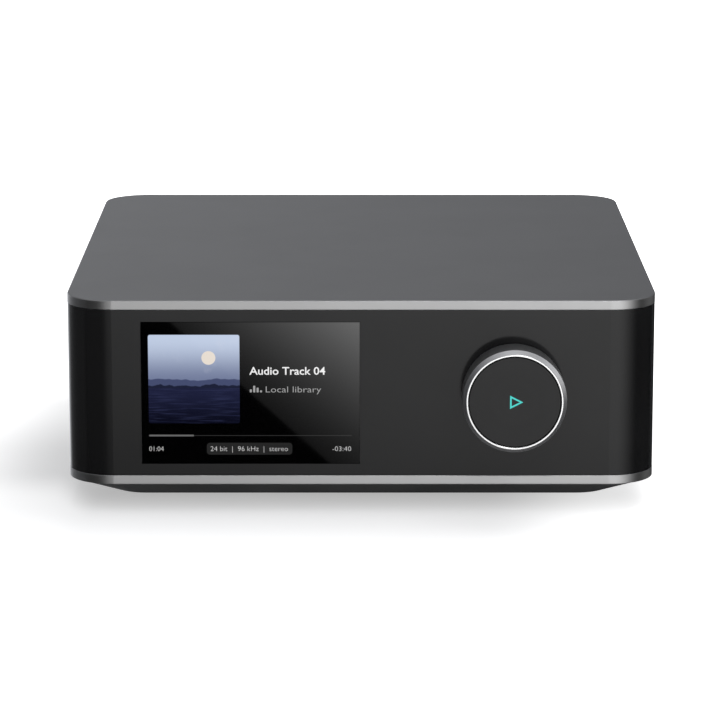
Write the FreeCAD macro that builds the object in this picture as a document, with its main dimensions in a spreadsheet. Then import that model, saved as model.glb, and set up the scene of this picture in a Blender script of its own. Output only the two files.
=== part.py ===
import FreeCAD, Part
import math
import os

import Sketcher

# Streaming amplifier. An aluminium case holds a black front with a colour display and a volume
# knob, and the knob has a play button in its middle. Speaker posts and sockets are at the back.
# Sizes are in millimetres. +X is right as seen from the front, +Y is back and +Z is up.
# The origin is on the ground, below the middle of the case.

SIZES = (
    # Case
    ("case_width", 200.0),
    ("case_depth", 215.0),
    ("case_height", 73.0),
    ("corner_radius", 16.0),
    ("side_wall", 2.2),
    ("top_edge", 3.15),
    ("rim_height", 3.0),
    ("edge_break", 0.2),
    ("fine_break", 0.2),
    ("cut_overrun", 5.0),
    ("post_inset", 27.5),
    ("post_side", 9.0),
    ("front_post_inset", 22.0),
    ("rear_post_depth", 20.0),
    ("rear_screw_inset", 18.5),
    # Base pan and foot
    ("base_drop", 6.65),
    ("base_top_inset", 0.5),
    ("base_slope_run", 13.6),
    ("base_corner", 12.0),
    ("base_wall", 2.2),
    ("skirt_width", 4.6),
    ("spigot_height", 2.5),
    ("spigot_gap", 0.2),
    ("column_radius", 4.4),
    ("foot_height", 2.85),
    ("foot_inset", 26.0),
    ("foot_width", 12.0),
    ("foot_corner", 16.0),
    ("foot_groove", 1.0),
    # Fascia
    ("fascia_inset", 0.05),
    ("fascia_wall", 2.2),
    ("fascia_wrap", 4.0),
    ("fascia_gap", 0.1),
    ("seam_gap", 0.3),
    ("tongue_reach", 9.0),
    ("tongue_wall", 1.7),
    ("tongue_gap", 0.1),
    ("tongue_margin", 9.0),
    ("boss_radius", 2.5),
    ("shaft_hole_radius", 6.6),
    # Display
    ("window_inset", 25.8),
    ("window_margin", 4.15),
    ("window_width", 73.7),
    ("window_gap", 0.15),
    ("panel_margin", 2.0),
    ("panel_depth", 2.4),
    ("frame_wall", 0.8),
    ("bracket_plate", 1.2),
    ("display_boss_gap", 5.75),
    ("display_boss_drop", 6.425),
    ("flex_shift", 17.35),
    ("flex_run", 2.4),
    ("flex_width", 20.0),
    ("flex_thickness", 0.4),
    # Knob and play button
    ("knob_inset", 48.6),
    ("knob_drop", 0.265),
    ("knob_radius", 17.5),
    ("knob_reach", 12.8),
    ("knob_gap", 0.6),
    ("knob_bevel_depth", 1.6),
    ("knob_bevel_width", 1.2),
    ("knob_skirt_wall", 1.8),
    ("knob_floor_depth", 4.8),
    ("knob_floor", 3.0),
    ("knob_hub_radius", 9.0),
    ("trim_inner_radius", 15.65),
    ("trim_width", 0.6),
    ("trim_depth", 1.2),
    ("trim_proud", 0.1),
    ("trim_break", 0.1),
    ("button_radius", 15.4),
    ("button_recess", 0.15),
    ("button_thickness", 2.2),
    ("button_dish", 0.05),
    ("icon_height", 4.6),
    ("icon_length", 4.4),
    ("icon_stroke", 0.55),
    ("icon_left", 1.65),
    ("icon_corner_growth", 1.75),
    ("icon_tip_growth", 2.0),
    ("stem_radius", 3.4),
    ("stem_clearance", 0.1),
    ("guide_wall", 1.1),
    ("guide_length", 16.0),
    ("switch_side", 4.5),
    ("switch_height", 3.0),
    ("actuator_radius", 1.2),
    ("actuator_gap", 0.25),
    ("actuator_proud", 0.8),
    ("actuator_length", 1.75),
    ("actuator_well", 2.2),
    # Volume encoder and front board
    ("shaft_inner_radius", 5.0),
    ("shaft_outer_radius", 6.2),
    ("running_clearance", 0.05),
    ("encoder_radius", 12.5),
    ("encoder_depth", 8.5),
    ("encoder_front_wall", 2.5),
    ("detent_radius", 10.0),
    ("detent_thickness", 1.6),
    ("detent_gap", 0.3),
    ("board_thickness", 1.6),
    ("front_board_width", 44.0),
    ("front_board_height", 38.0),
    ("front_boss_across", 19.0),
    ("front_boss_up", 16.0),
    ("ribbon_width", 20.0),
    ("ribbon_thickness", 0.9),
    ("ribbon_landing", 3.0),
    ("ribbon_drop", 9.5),
    ("antenna_left_gap", 3.25),
    ("antenna_right_gap", 3.9),
    ("antenna_margin", 5.425),
    ("antenna_thickness", 0.8),
    # Screws
    ("screw_radius", 1.25),
    ("screw_length", 8.0),
    ("screw_head_radius", 2.5),
    ("screw_head_height", 1.4),
    ("screw_slot_width", 0.6),
    ("screw_slot_depth", 0.7),
    ("screw_slot_length", 3.0),
    ("small_screw_length", 4.0),
    ("base_head_sink", 1.4),
    # Rear panel
    ("rear_opening_inset", 23.0),
    ("rear_opening_margin", 2.0),
    ("rear_recess", 1.6),
    ("rear_flange", 1.5),
    ("rear_flange_lap", 2.0),
    ("rear_gap", 0.2),
    ("rear_screw_margin", 5.0),
    # Speaker posts
    ("speaker_inset", 39.0),
    ("speaker_pitch", 19.05),
    ("speaker_z", 50.5),
    ("insulator_radius", 7.4),
    ("insulator_flange", 1.6),
    ("insulator_sleeve_radius", 4.4),
    ("insulator_nut_side", 1.2),
    ("stud_radius", 3.0),
    ("stud_tail", 8.5),
    ("banana_radius", 2.0),
    ("banana_depth", 19.0),
    ("nut_radius", 5.0),
    ("nut_thickness", 2.4),
    ("clamp_radius", 5.6),
    ("clamp_thickness", 2.0),
    ("clamp_bore_gap", 0.3),
    ("clamp_seat_gap", 0.3),
    ("cap_radius", 6.6),
    ("cap_length", 13.0),
    ("cap_gap", 0.15),
    ("cap_thread_gap", 0.1),
    ("cap_lip", 1.2),
    ("cap_mouth_radius", 2.6),
    ("cap_edge", 0.7),
    ("cap_flute_radius", 1.1),
    ("cap_flute_offset", 0.65),
    ("cap_flute_count", 12.0),
    # Sound sockets
    ("rca_inset", 38.0),
    ("rca_pitch", 13.0),
    ("rca_z", 25.6),
    ("rca_radius", 4.15),
    ("rca_neck_step", 0.4),
    ("rca_shoulder", 0.1),
    ("rca_bore", 3.3),
    ("rca_reach", 9.5),
    ("rca_flange_radius", 5.3),
    ("rca_flange", 1.0),
    ("rca_pin_radius", 1.6),
    ("rca_pin_depth", 12.0),
    ("rca_block_margin", 5.8),
    ("rca_block_depth", 11.0),
    ("rca_core_recess", 0.4),
    ("lan_x", -24.0),
    ("lan_width", 16.0),
    ("lan_height", 13.8),
    ("lan_depth", 17.0),
    ("lan_mouth_width", 11.8),
    ("lan_mouth_height", 8.4),
    ("lan_mouth_depth", 13.0),
    ("lan_mouth_lift", 1.4),
    ("lan_notch_width", 6.0),
    ("lan_notch_height", 2.2),
    ("usb_x", -6.0),
    ("usb_width", 13.4),
    ("usb_height", 6.1),
    ("usb_depth", 14.0),
    ("usb_wall", 0.5),
    ("usb_back", 2.0),
    ("usb_tongue_width", 11.1),
    ("usb_tongue_height", 1.9),
    ("usb_tongue_reach", 9.0),
    ("hdmi_x", 10.5),
    ("hdmi_width", 15.2),
    ("hdmi_height", 6.0),
    ("hdmi_depth", 11.5),
    ("hdmi_wall", 0.6),
    ("hdmi_bevel", 1.8),
    ("hdmi_bevel_rise", 2.2),
    ("hdmi_back", 2.0),
    ("hdmi_tongue_width", 11.0),
    ("hdmi_tongue_height", 1.3),
    ("hdmi_tongue_reach", 7.0),
    ("optical_x", 24.5),
    ("optical_side", 10.0),
    ("optical_depth", 13.0),
    ("optical_lift", 5.0),
    ("optical_mouth", 6.8),
    ("optical_well", 10.0),
    ("shutter_gap", 0.3),
    ("shutter_thickness", 0.8),
    ("shutter_recess", 3.2),
    ("shutter_hinge_radius", 0.5),
    ("shutter_pin_radius", 0.3),
    ("shutter_pin_reach", 1.0),
    ("socket_proud", 0.3),
    # Mains inlet
    ("inlet_inset", 50.0),
    ("inlet_z", 29.0),
    ("inlet_flange_width", 24.0),
    ("inlet_flange_height", 15.0),
    ("inlet_flange", 1.8),
    ("inlet_flange_corner", 3.0),
    ("inlet_body_width", 20.0),
    ("inlet_body_height", 11.4),
    ("inlet_body_depth", 16.0),
    ("inlet_mouth_width", 15.6),
    ("inlet_mouth_height", 8.2),
    ("inlet_mouth_depth", 13.0),
    ("inlet_pin_pitch", 8.6),
    ("inlet_pin_radius", 1.2),
    ("inlet_pin_reach", 9.0),
    ("inlet_pin_tail", 5.0),
    # Boards
    ("board_top_z", 18.0),
    ("main_board_left", -34.0),
    ("main_board_inset", 34.0),
    ("main_board_front", -72.0),
    ("board_rear_gap", 1.5),
    ("supply_board_inset", 7.0),
    ("supply_board_right", -38.0),
    ("supply_board_front", -76.0),
    ("supply_board_rear", 79.0),
    ("standoff_radius", 3.0),
    ("standoff_inset", 7.0),
    ("supply_standoff_inset", 14.0),
    ("rear_standoff_y", 74.0),
    # Parts on the boards
    ("sink_x", 32.0),
    ("sink_y", 14.0),
    ("sink_width", 54.0),
    ("sink_length", 38.0),
    ("sink_height", 28.0),
    ("sink_base", 5.0),
    ("fin_count", 9.0),
    ("fin_gap", 4.0),
    ("amp_chip_side", 16.0),
    ("amp_chip_height", 1.2),
    ("processor_x", 8.0),
    ("processor_y", -50.0),
    ("processor_side", 24.0),
    ("processor_height", 3.0),
    ("radio_x", 46.0),
    ("radio_y", -52.0),
    ("radio_width", 20.0),
    ("radio_length", 16.0),
    ("radio_height", 2.6),
    ("inductor_side", 12.0),
    ("inductor_height", 10.5),
    ("inductor_y", 62.0),
    ("inductor_bevel", 1.5),
    ("capacitor_radius", 9.0),
    ("capacitor_height", 34.0),
    ("capacitor_x", -20.0),
    ("capacitor_y", 24.0),
    ("capacitor_pitch", 22.0),
    ("mains_capacitor_radius", 12.0),
    ("mains_capacitor_height", 38.0),
    ("mains_capacitor_y", -44.0),
    ("supply_row_inset", 34.0),
    ("transformer_y", 2.0),
    ("core_width", 40.0),
    ("core_length", 15.0),
    ("core_height", 30.0),
    ("winding_width", 24.0),
    ("winding_length", 30.0),
    ("winding_height", 20.0),
    ("transformer_lift", 5.0),
    ("choke_y", 52.0),
    ("choke_radius", 9.0),
    ("choke_section", 4.5),
    # Leads
    ("lead_radius", 0.9),
    ("thin_lead_radius", 0.6),
    ("harness_pitch", 3.0),
    ("harness_y", -20.0),
    ("harness_rise", 12.0),
    ("lead_bend", 14.0),
)


class Size:
    """A length in millimetres, together with the sheet formula that gives it."""

    def __init__(self, number, formula):
        self.number = float(number)
        self.formula = formula

    def __add__(self, other):
        other = as_size(other)
        return Size(self.number + other.number, "(%s + %s)" % (self.formula, other.formula))

    def __sub__(self, other):
        other = as_size(other)
        return Size(self.number - other.number, "(%s - %s)" % (self.formula, other.formula))

    def __mul__(self, other):
        other = as_size(other)
        return Size(self.number * other.number, "(%s * %s)" % (self.formula, other.formula))

    def __truediv__(self, other):
        other = as_size(other)
        return Size(self.number / other.number, "(%s / %s)" % (self.formula, other.formula))

    def __neg__(self):
        return Size(-self.number, "(0 - %s)" % self.formula)

    def __radd__(self, other):
        return as_size(other) + self

    def __rsub__(self, other):
        return as_size(other) - self

    def __rmul__(self, other):
        return as_size(other) * self


def as_size(value):
    """Gives a plain number the same form as a named size."""
    if isinstance(value, Size):
        return value
    return Size(value, "%.6f" % value)


class Sizes:
    """Holds each row of the sheet as a Size."""


doc = FreeCAD.newDocument("streaming_amplifier")
sheet = doc.addObject("Spreadsheet::Sheet", "sizes")
d = Sizes()
for row, (size_name, size_number) in enumerate(SIZES, 1):
    sheet.set("A%d" % row, size_name)
    sheet.set("B%d" % row, "%.4f" % size_number)
    sheet.setAlias("B%d" % row, size_name)
    setattr(d, size_name, Size(size_number, "sizes." + size_name))
doc.recompute()

SIDES = (-1, 1)
nodes = []


# Helpers that draw and bind


def bind(thing, path, size):
    """Ties a property of an object to its formula."""
    thing.setExpression(path, as_size(size).formula)


def node(thing, label):
    """Marks an object as a piece of the amplifier, under its own name."""
    thing.Label = label
    nodes.append(thing)
    return thing


def start_body(name):
    return doc.addObject("PartDesign::Body", name)


def sketch_on(body, role, lift=0, across=0, up=0):
    """Starts a sketch on one of the body's own planes, moved along its axes."""
    sketch = body.newObject("Sketcher::SketchObject", "outline")
    plane = [feature for feature in body.Origin.OriginFeatures if feature.Role == role][0]
    sketch.AttachmentSupport = [(plane, "")]
    sketch.MapMode = "FlatFace"
    bind(sketch, "AttachmentOffset.Base.x", across)
    bind(sketch, "AttachmentOffset.Base.y", up)
    bind(sketch, "AttachmentOffset.Base.z", lift)
    return sketch


def fix(sketch, kind, size, *places):
    """Adds a dimension whose value follows the sheet."""
    size = as_size(size)
    index = sketch.addConstraint(Sketcher.Constraint(kind, *places, size.number))
    name = "size_%d" % index
    sketch.renameConstraint(index, name)
    sketch.setExpression("Constraints." + name, size.formula)


def fix_point(sketch, edge, end, x, y):
    fix(sketch, "DistanceX", x, -1, 1, edge, end)
    fix(sketch, "DistanceY", y, -1, 1, edge, end)


def point(x, y):
    return FreeCAD.Vector(as_size(x).number, as_size(y).number, 0)


def draw_outline(sketch, corners):
    """Draws a closed outline of straight edges through the corners."""
    first = sketch.GeometryCount
    count = len(corners)
    for i in range(count):
        sketch.addGeometry(Part.LineSegment(point(*corners[i]), point(*corners[(i + 1) % count])))
    for i in range(count):
        after = first + (i + 1) % count
        sketch.addConstraint(Sketcher.Constraint("Coincident", first + i, 2, after, 1))
    for i in range(count):
        fix_point(sketch, first + i, 1, *corners[i])


def draw_box(sketch, left, right, low, high):
    draw_outline(sketch, ((left, low), (right, low), (right, high), (left, high)))


def draw_round_box(sketch, left, right, low, high, radius):
    """Draws a rectangle with round corners: four lines and four arcs."""
    corners = (
        (right - radius, low, right, low + radius, right - radius, low + radius, -90),
        (right, high - radius, right - radius, high, right - radius, high - radius, 0),
        (left + radius, high, left, high - radius, left + radius, high - radius, 90),
        (left, low + radius, left + radius, low, left + radius, low + radius, 180),
    )
    first = sketch.GeometryCount
    for i in range(4):
        before = corners[i - 1]
        here = corners[i]
        sketch.addGeometry(Part.LineSegment(point(before[2], before[3]), point(here[0], here[1])))
        circle = Part.Circle(point(here[4], here[5]), FreeCAD.Vector(0, 0, 1), as_size(radius).number)
        start = math.radians(here[6])
        sketch.addGeometry(Part.ArcOfCircle(circle, start, start + math.pi / 2))
    for i in range(4):
        line = first + 2 * i
        arc = line + 1
        next_line = first + 2 * ((i + 1) % 4)
        sketch.addConstraint(Sketcher.Constraint("Coincident", line, 2, arc, 1))
        sketch.addConstraint(Sketcher.Constraint("Coincident", arc, 2, next_line, 1))
        fix_point(sketch, line, 1, corners[i - 1][2], corners[i - 1][3])
        fix_point(sketch, line, 2, corners[i][0], corners[i][1])
        fix(sketch, "Radius", radius, arc)


def draw_circle(sketch, x, y, radius):
    circle = Part.Circle(point(x, y), FreeCAD.Vector(0, 0, 1), as_size(radius).number)
    edge = sketch.addGeometry(circle)
    fix_point(sketch, edge, 3, x, y)
    fix(sketch, "Radius", radius, edge)


def pad(body, sketch, length, reverse=False):
    """Adds a prism. It grows along the sketch's normal, or against it where reverse is set."""
    feature = body.newObject("PartDesign::Pad", "pad")
    feature.Profile = sketch
    feature.Reversed = reverse
    bind(feature, "Length", length)
    doc.recompute()
    return feature


def pocket(body, sketch, length, reverse=False):
    """Removes a prism, against the sketch's normal, or along it where reverse is set."""
    before = body.Shape.Volume
    feature = body.newObject("PartDesign::Pocket", "pocket")
    feature.Profile = sketch
    feature.Reversed = reverse
    bind(feature, "Length", length)
    doc.recompute()
    if body.Shape.Volume > before - 1e-3:
        raise ValueError("a pocket in %s removes nothing" % body.Label)
    return feature


def loft(body, kind, first, last):
    """Joins two sketches by straight ruled faces, to add or to remove a solid."""
    feature = body.newObject("PartDesign::" + kind, "loft")
    feature.Profile = first
    feature.Sections = [last]
    feature.Ruled = True
    doc.recompute()
    return feature


def turned(name, x, z, profile):
    """Turns a profile of (y, radius) points about a line along Y through x and z."""
    body = start_body(name)
    sketch = sketch_on(body, "YZ_Plane", lift=x, up=z)
    draw_outline(sketch, profile)
    feature = body.newObject("PartDesign::Revolution", "turn")
    feature.Profile = sketch
    feature.ReferenceAxis = (sketch, ["H_Axis"])
    feature.Angle = 360
    return body


def upright(name, x, y, profile):
    """Turns a profile of (radius, z) points about a line along Z through x and y."""
    body = start_body(name)
    sketch = sketch_on(body, "XZ_Plane", lift=-y, across=x)
    draw_outline(sketch, profile)
    feature = body.newObject("PartDesign::Revolution", "turn")
    feature.Profile = sketch
    feature.ReferenceAxis = (sketch, ["V_Axis"])
    feature.Angle = 360
    return body


def box(name, left, right, front, rear, low, high):
    solid = doc.addObject("Part::Box", name)
    bind(solid, "Length", right - left)
    bind(solid, "Width", rear - front)
    bind(solid, "Height", high - low)
    bind(solid, "Placement.Base.x", left)
    bind(solid, "Placement.Base.y", front)
    bind(solid, "Placement.Base.z", low)
    return solid


def rod(name, x, z, radius, front, rear):
    """A cylinder along Y."""
    solid = doc.addObject("Part::Cylinder", name)
    solid.Placement.Rotation = FreeCAD.Rotation(FreeCAD.Vector(1, 0, 0), -90)
    bind(solid, "Radius", radius)
    bind(solid, "Height", rear - front)
    bind(solid, "Placement.Base.x", x)
    bind(solid, "Placement.Base.y", front)
    bind(solid, "Placement.Base.z", z)
    return solid


def drum(name, x, y, radius, low, high):
    """A cylinder along Z."""
    solid = doc.addObject("Part::Cylinder", name)
    bind(solid, "Radius", radius)
    bind(solid, "Height", high - low)
    bind(solid, "Placement.Base.x", x)
    bind(solid, "Placement.Base.y", y)
    bind(solid, "Placement.Base.z", low)
    return solid


def axle(name, x, half_length, y, z, radius):
    """A cylinder along X, centred on x."""
    solid = doc.addObject("Part::Cylinder", name)
    solid.Placement.Rotation = FreeCAD.Rotation(FreeCAD.Vector(0, 1, 0), 90)
    bind(solid, "Radius", radius)
    bind(solid, "Height", half_length * 2)
    bind(solid, "Placement.Base.x", x - half_length)
    bind(solid, "Placement.Base.y", y)
    bind(solid, "Placement.Base.z", z)
    return solid


def cut(name, base, *tools):
    """Cuts one or more tools out of a solid."""
    for tool in tools:
        result = doc.addObject("Part::Cut", name + "_cut")
        result.Base = base
        result.Tool = tool
        base = result
    return base


def fuse(name, base, *others):
    for other in others:
        result = doc.addObject("Part::Fuse", name + "_fuse")
        result.Base = base
        result.Tool = other
        base = result
    return base


def group(name, members):
    """Keeps like pieces together as separate solids."""
    result = doc.addObject("Part::Compound", name)
    result.Links = members
    return result


# Levels and faces that several pieces share

half_width = d.case_width / 2
front_y = -d.case_depth / 2
rear_y = d.case_depth / 2
base_bottom = d.foot_height
rim_bottom = base_bottom + d.base_drop
rim_top = rim_bottom + d.rim_height
roof = d.case_height - d.top_edge
base_floor = base_bottom + d.base_wall
seam_y = front_y + d.corner_radius + d.fascia_wrap
front_post_y = front_y + d.front_post_inset
inner_rear_y = rear_y - d.side_wall
panel_inner_y = inner_rear_y - d.rear_flange
panel_outer_y = rear_y - d.rear_recess
rear_post_front_y = panel_inner_y - d.rear_post_depth
rear_screw_y = rear_y - d.rear_screw_inset
opening_half = half_width - d.rear_opening_inset
opening_low = rim_top + d.rear_opening_margin
opening_high = roof - d.rear_opening_margin
fascia_front = front_y + d.fascia_inset
fascia_back = fascia_front + d.fascia_wall
fascia_low = rim_top + d.fascia_gap
fascia_high = roof - d.fascia_gap
fascia_middle = (fascia_low + fascia_high) / 2
window_height = fascia_high - fascia_low - d.window_margin * 2
window_x = -half_width + d.window_inset + d.window_width / 2
window_z = fascia_middle
display_boss_across = d.window_width / 2 + d.display_boss_gap
display_boss_up = window_height / 2 - d.display_boss_drop
knob_x = half_width - d.knob_inset
knob_z = fascia_middle - d.knob_drop
board_front = fascia_back + d.encoder_depth
board_back = board_front + d.board_thickness
knob_front = front_y - d.knob_reach
button_front = knob_front + d.button_recess
button_back = button_front + d.button_thickness
switch_front = board_front - d.switch_height
stem_back = switch_front - d.actuator_proud
socket_y = panel_outer_y + d.socket_proud
board_low = d.board_top_z - d.board_thickness
main_board_rear = panel_inner_y - d.board_rear_gap
main_board_right = half_width - d.main_board_inset
supply_board_left = -half_width + d.supply_board_inset
supply_row_x = -half_width + d.supply_row_inset
post_x = half_width - d.post_inset
antenna_left = window_x + display_boss_across + d.boss_radius + d.antenna_left_gap
antenna_right = knob_x - d.front_boss_across - d.boss_radius - d.antenna_right_gap
antenna_half = window_height / 2 - d.antenna_margin
inlet_x = -half_width + d.inlet_inset

POST_SCREWS = [(post_x * side, y) for side in SIDES for y in (front_post_y, rear_screw_y)]
REAR_SCREWS = [
    (post_x * side, z)
    for side in SIDES
    for z in (opening_low + d.rear_screw_margin, opening_high - d.rear_screw_margin)
]
DISPLAY_SCREWS = [
    (window_x + display_boss_across * side, window_z + display_boss_up * level)
    for side in SIDES
    for level in SIDES
]
FRONT_BOARD_SCREWS = [
    (knob_x + d.front_boss_across * side, knob_z + d.front_boss_up * level)
    for side in SIDES
    for level in SIDES
]
MAIN_STANDOFFS = [
    (x, y)
    for x in (d.main_board_left + d.standoff_inset, main_board_right - d.standoff_inset)
    for y in (d.main_board_front + d.standoff_inset, d.rear_standoff_y)
]
SUPPLY_STANDOFFS = [
    (x, y)
    for x in (supply_board_left + d.supply_standoff_inset, d.supply_board_right - d.standoff_inset)
    for y in (d.supply_board_front + d.standoff_inset, d.supply_board_rear - d.standoff_inset)
]
SPEAKERS = [half_width - d.speaker_inset - d.speaker_pitch * i for i in range(4)]
RCA_PLACES = [half_width - d.rca_inset - d.rca_pitch * i for i in range(3)]


# Case


def draw_case_outline(sketch, inset, radius):
    """Draws the plan of the case, moved inwards by inset."""
    draw_round_box(sketch, -half_width + inset, half_width - inset, front_y + inset, rear_y - inset, radius)


def make_case_shell():
    """The aluminium shell: top, side walls, rear frame, low rim and four screw posts."""
    body = start_body("case_shell")
    outer = sketch_on(body, "XY_Plane", lift=rim_bottom)
    draw_case_outline(outer, 0, d.corner_radius)
    block = pad(body, outer, d.case_height - rim_bottom)
    top_edges = [
        "Edge%d" % (i + 1)
        for i, edge in enumerate(body.Shape.Edges)
        if abs(edge.BoundBox.ZMin - d.case_height.number) < 1e-6
    ]
    chamfer = body.newObject("PartDesign::Chamfer", "edge_break")
    chamfer.Base = (block, top_edges)
    bind(chamfer, "Size", d.edge_break)
    doc.recompute()
    cavity = sketch_on(body, "XY_Plane", lift=rim_bottom)
    draw_case_outline(cavity, d.side_wall, d.corner_radius - d.side_wall)
    pocket(body, cavity, roof - rim_bottom, reverse=True)
    mouth = sketch_on(body, "XY_Plane", lift=rim_top)
    past = d.cut_overrun
    draw_box(mouth, -half_width - past, half_width + past, front_y - past, seam_y)
    pocket(body, mouth, roof - rim_top, reverse=True)
    window = sketch_on(body, "XZ_Plane", lift=-rear_y)
    draw_box(window, -opening_half, opening_half, opening_low, opening_high)
    pocket(body, window, d.side_wall, reverse=True)
    half_post = d.post_side / 2
    for side in SIDES:
        x = post_x * side
        front_post = sketch_on(body, "XY_Plane", lift=rim_bottom)
        draw_box(front_post, x - half_post, x + half_post, front_post_y - half_post, front_post_y + half_post)
        pad(body, front_post, roof - rim_bottom)
        rear_post = sketch_on(body, "XY_Plane", lift=rim_bottom)
        draw_box(rear_post, x - half_post, x + half_post, rear_post_front_y, panel_inner_y)
        pad(body, rear_post, roof - rim_bottom)
    low_holes = sketch_on(body, "XY_Plane", lift=rim_bottom)
    for x, y in POST_SCREWS:
        draw_circle(low_holes, x, y, d.screw_radius)
    pocket(body, low_holes, d.screw_length, reverse=True)
    rear_holes = sketch_on(body, "XZ_Plane", lift=-panel_inner_y)
    for x, z in REAR_SCREWS:
        draw_circle(rear_holes, x, z, d.screw_radius)
    pocket(body, rear_holes, d.screw_length, reverse=True)
    return node(body, "case_shell")


def make_base_pan():
    """The dark pan under the case: a sloped skirt, a floor, a locating wall and screw columns."""
    body = start_body("base_pan")
    inset = d.base_top_inset
    low_inset = inset + d.base_slope_run
    top_radius = d.corner_radius - inset

    def ring(z, edge, radius):
        sketch = sketch_on(body, "XY_Plane", lift=z)
        draw_case_outline(sketch, edge, radius)
        return sketch

    low_ring = ring(base_bottom, low_inset, d.base_corner)
    high_ring = ring(rim_bottom, inset, top_radius)
    loft(body, "AdditiveLoft", low_ring, high_ring)
    slope = d.base_slope_run / d.base_drop
    floor_inset = low_inset - slope * d.base_wall + d.skirt_width
    loft(
        body,
        "SubtractiveLoft",
        ring(base_floor, floor_inset, d.base_corner),
        ring(rim_bottom, inset + d.skirt_width, top_radius - d.skirt_width),
    )
    spigot_inset = d.side_wall + d.spigot_gap
    spigot = ring(rim_bottom, spigot_inset, d.corner_radius - spigot_inset)
    inner = d.side_wall + d.rear_flange - d.spigot_gap / 2
    draw_case_outline(spigot, inner, d.corner_radius - inner)
    pad(body, spigot, d.spigot_height)
    columns = sketch_on(body, "XY_Plane", lift=base_bottom + d.base_wall / 2)
    for x, y in POST_SCREWS:
        draw_circle(columns, x, y, d.column_radius)
    pad(body, columns, rim_bottom - base_bottom - d.base_wall / 2)
    holes = sketch_on(body, "XY_Plane", lift=base_bottom)
    heads = sketch_on(body, "XY_Plane", lift=base_bottom)
    for x, y in POST_SCREWS:
        draw_circle(holes, x, y, d.screw_radius)
        draw_circle(heads, x, y, d.screw_head_radius + d.rear_gap)
    pocket(body, holes, d.base_drop, reverse=True)
    pocket(body, heads, d.base_head_sink, reverse=True)
    groove = ring(base_bottom, d.foot_inset, d.foot_corner)
    edge = d.foot_inset + d.foot_width
    draw_case_outline(groove, edge, d.foot_corner - d.foot_width)
    pocket(body, groove, d.foot_groove, reverse=True)
    return node(body, "base_pan")


def make_foot_ring():
    """The rubber ring that the amplifier stands on."""
    body = start_body("foot_ring")
    sketch = sketch_on(body, "XY_Plane")
    draw_case_outline(sketch, d.foot_inset, d.foot_corner)
    draw_case_outline(sketch, d.foot_inset + d.foot_width, d.foot_corner - d.foot_width)
    pad(body, sketch, d.foot_height + d.foot_groove)
    return node(body, "foot_ring")


def make_front_fascia():
    """The black front. It wraps round both front corners and holds the display and the knob."""
    body = start_body("front_fascia")
    outer = sketch_on(body, "XY_Plane", lift=fascia_low)
    inset = d.fascia_inset
    inner = inset + d.fascia_wall
    draw_case_outline(outer, inset, d.corner_radius - inset)
    draw_case_outline(outer, inner, d.corner_radius - inner)
    pad(body, outer, fascia_high - fascia_low)
    behind = sketch_on(body, "XY_Plane", lift=fascia_low)
    draw_box(behind, -half_width, half_width, seam_y - d.seam_gap, rear_y)
    pocket(body, behind, fascia_high - fascia_low, reverse=True)
    tongue_outer = half_width - d.side_wall - d.tongue_gap
    tongue_inner = tongue_outer - d.tongue_wall
    for left, right in ((-tongue_outer, -tongue_inner), (tongue_inner, tongue_outer)):
        tongue = sketch_on(body, "XY_Plane", lift=fascia_low + d.tongue_margin)
        draw_box(tongue, left, right, seam_y - d.tongue_reach, seam_y + d.tongue_reach)
        pad(body, tongue, fascia_high - fascia_low - d.tongue_margin * 2)
    middle = fascia_back - d.fascia_wall / 2
    display_bosses = sketch_on(body, "XZ_Plane", lift=-middle)
    for x, z in DISPLAY_SCREWS:
        draw_circle(display_bosses, x, z, d.boss_radius)
    display_boss_back = fascia_back + d.panel_depth + d.frame_wall
    pad(body, display_bosses, display_boss_back - middle, reverse=True)
    board_bosses = sketch_on(body, "XZ_Plane", lift=-middle)
    for x, z in FRONT_BOARD_SCREWS:
        draw_circle(board_bosses, x, z, d.boss_radius)
    pad(body, board_bosses, board_front - middle, reverse=True)
    display_holes = sketch_on(body, "XZ_Plane", lift=-display_boss_back)
    for x, z in DISPLAY_SCREWS:
        draw_circle(display_holes, x, z, d.screw_radius)
    pocket(body, display_holes, d.small_screw_length - d.bracket_plate, reverse=True)
    board_holes = sketch_on(body, "XZ_Plane", lift=-board_front)
    for x, z in FRONT_BOARD_SCREWS:
        draw_circle(board_holes, x, z, d.screw_radius)
    pocket(body, board_holes, d.small_screw_length - d.board_thickness, reverse=True)
    openings = sketch_on(body, "XZ_Plane", lift=-fascia_back)
    half_w = d.window_width / 2 + d.window_gap
    half_h = window_height / 2 + d.window_gap
    draw_box(openings, window_x - half_w, window_x + half_w, window_z - half_h, window_z + half_h)
    draw_circle(openings, knob_x, knob_z, d.shaft_hole_radius)
    pocket(body, openings, d.fascia_wall, reverse=True)
    return node(body, "front_fascia")


# Display


def window_box(name, margin, front, rear):
    """A box centred on the display window and larger than it by a margin all round."""
    half_w = d.window_width / 2 + margin
    half_h = window_height / 2 + margin
    return box(name, window_x - half_w, window_x + half_w, front, rear, window_z - half_h, window_z + half_h)


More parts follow.
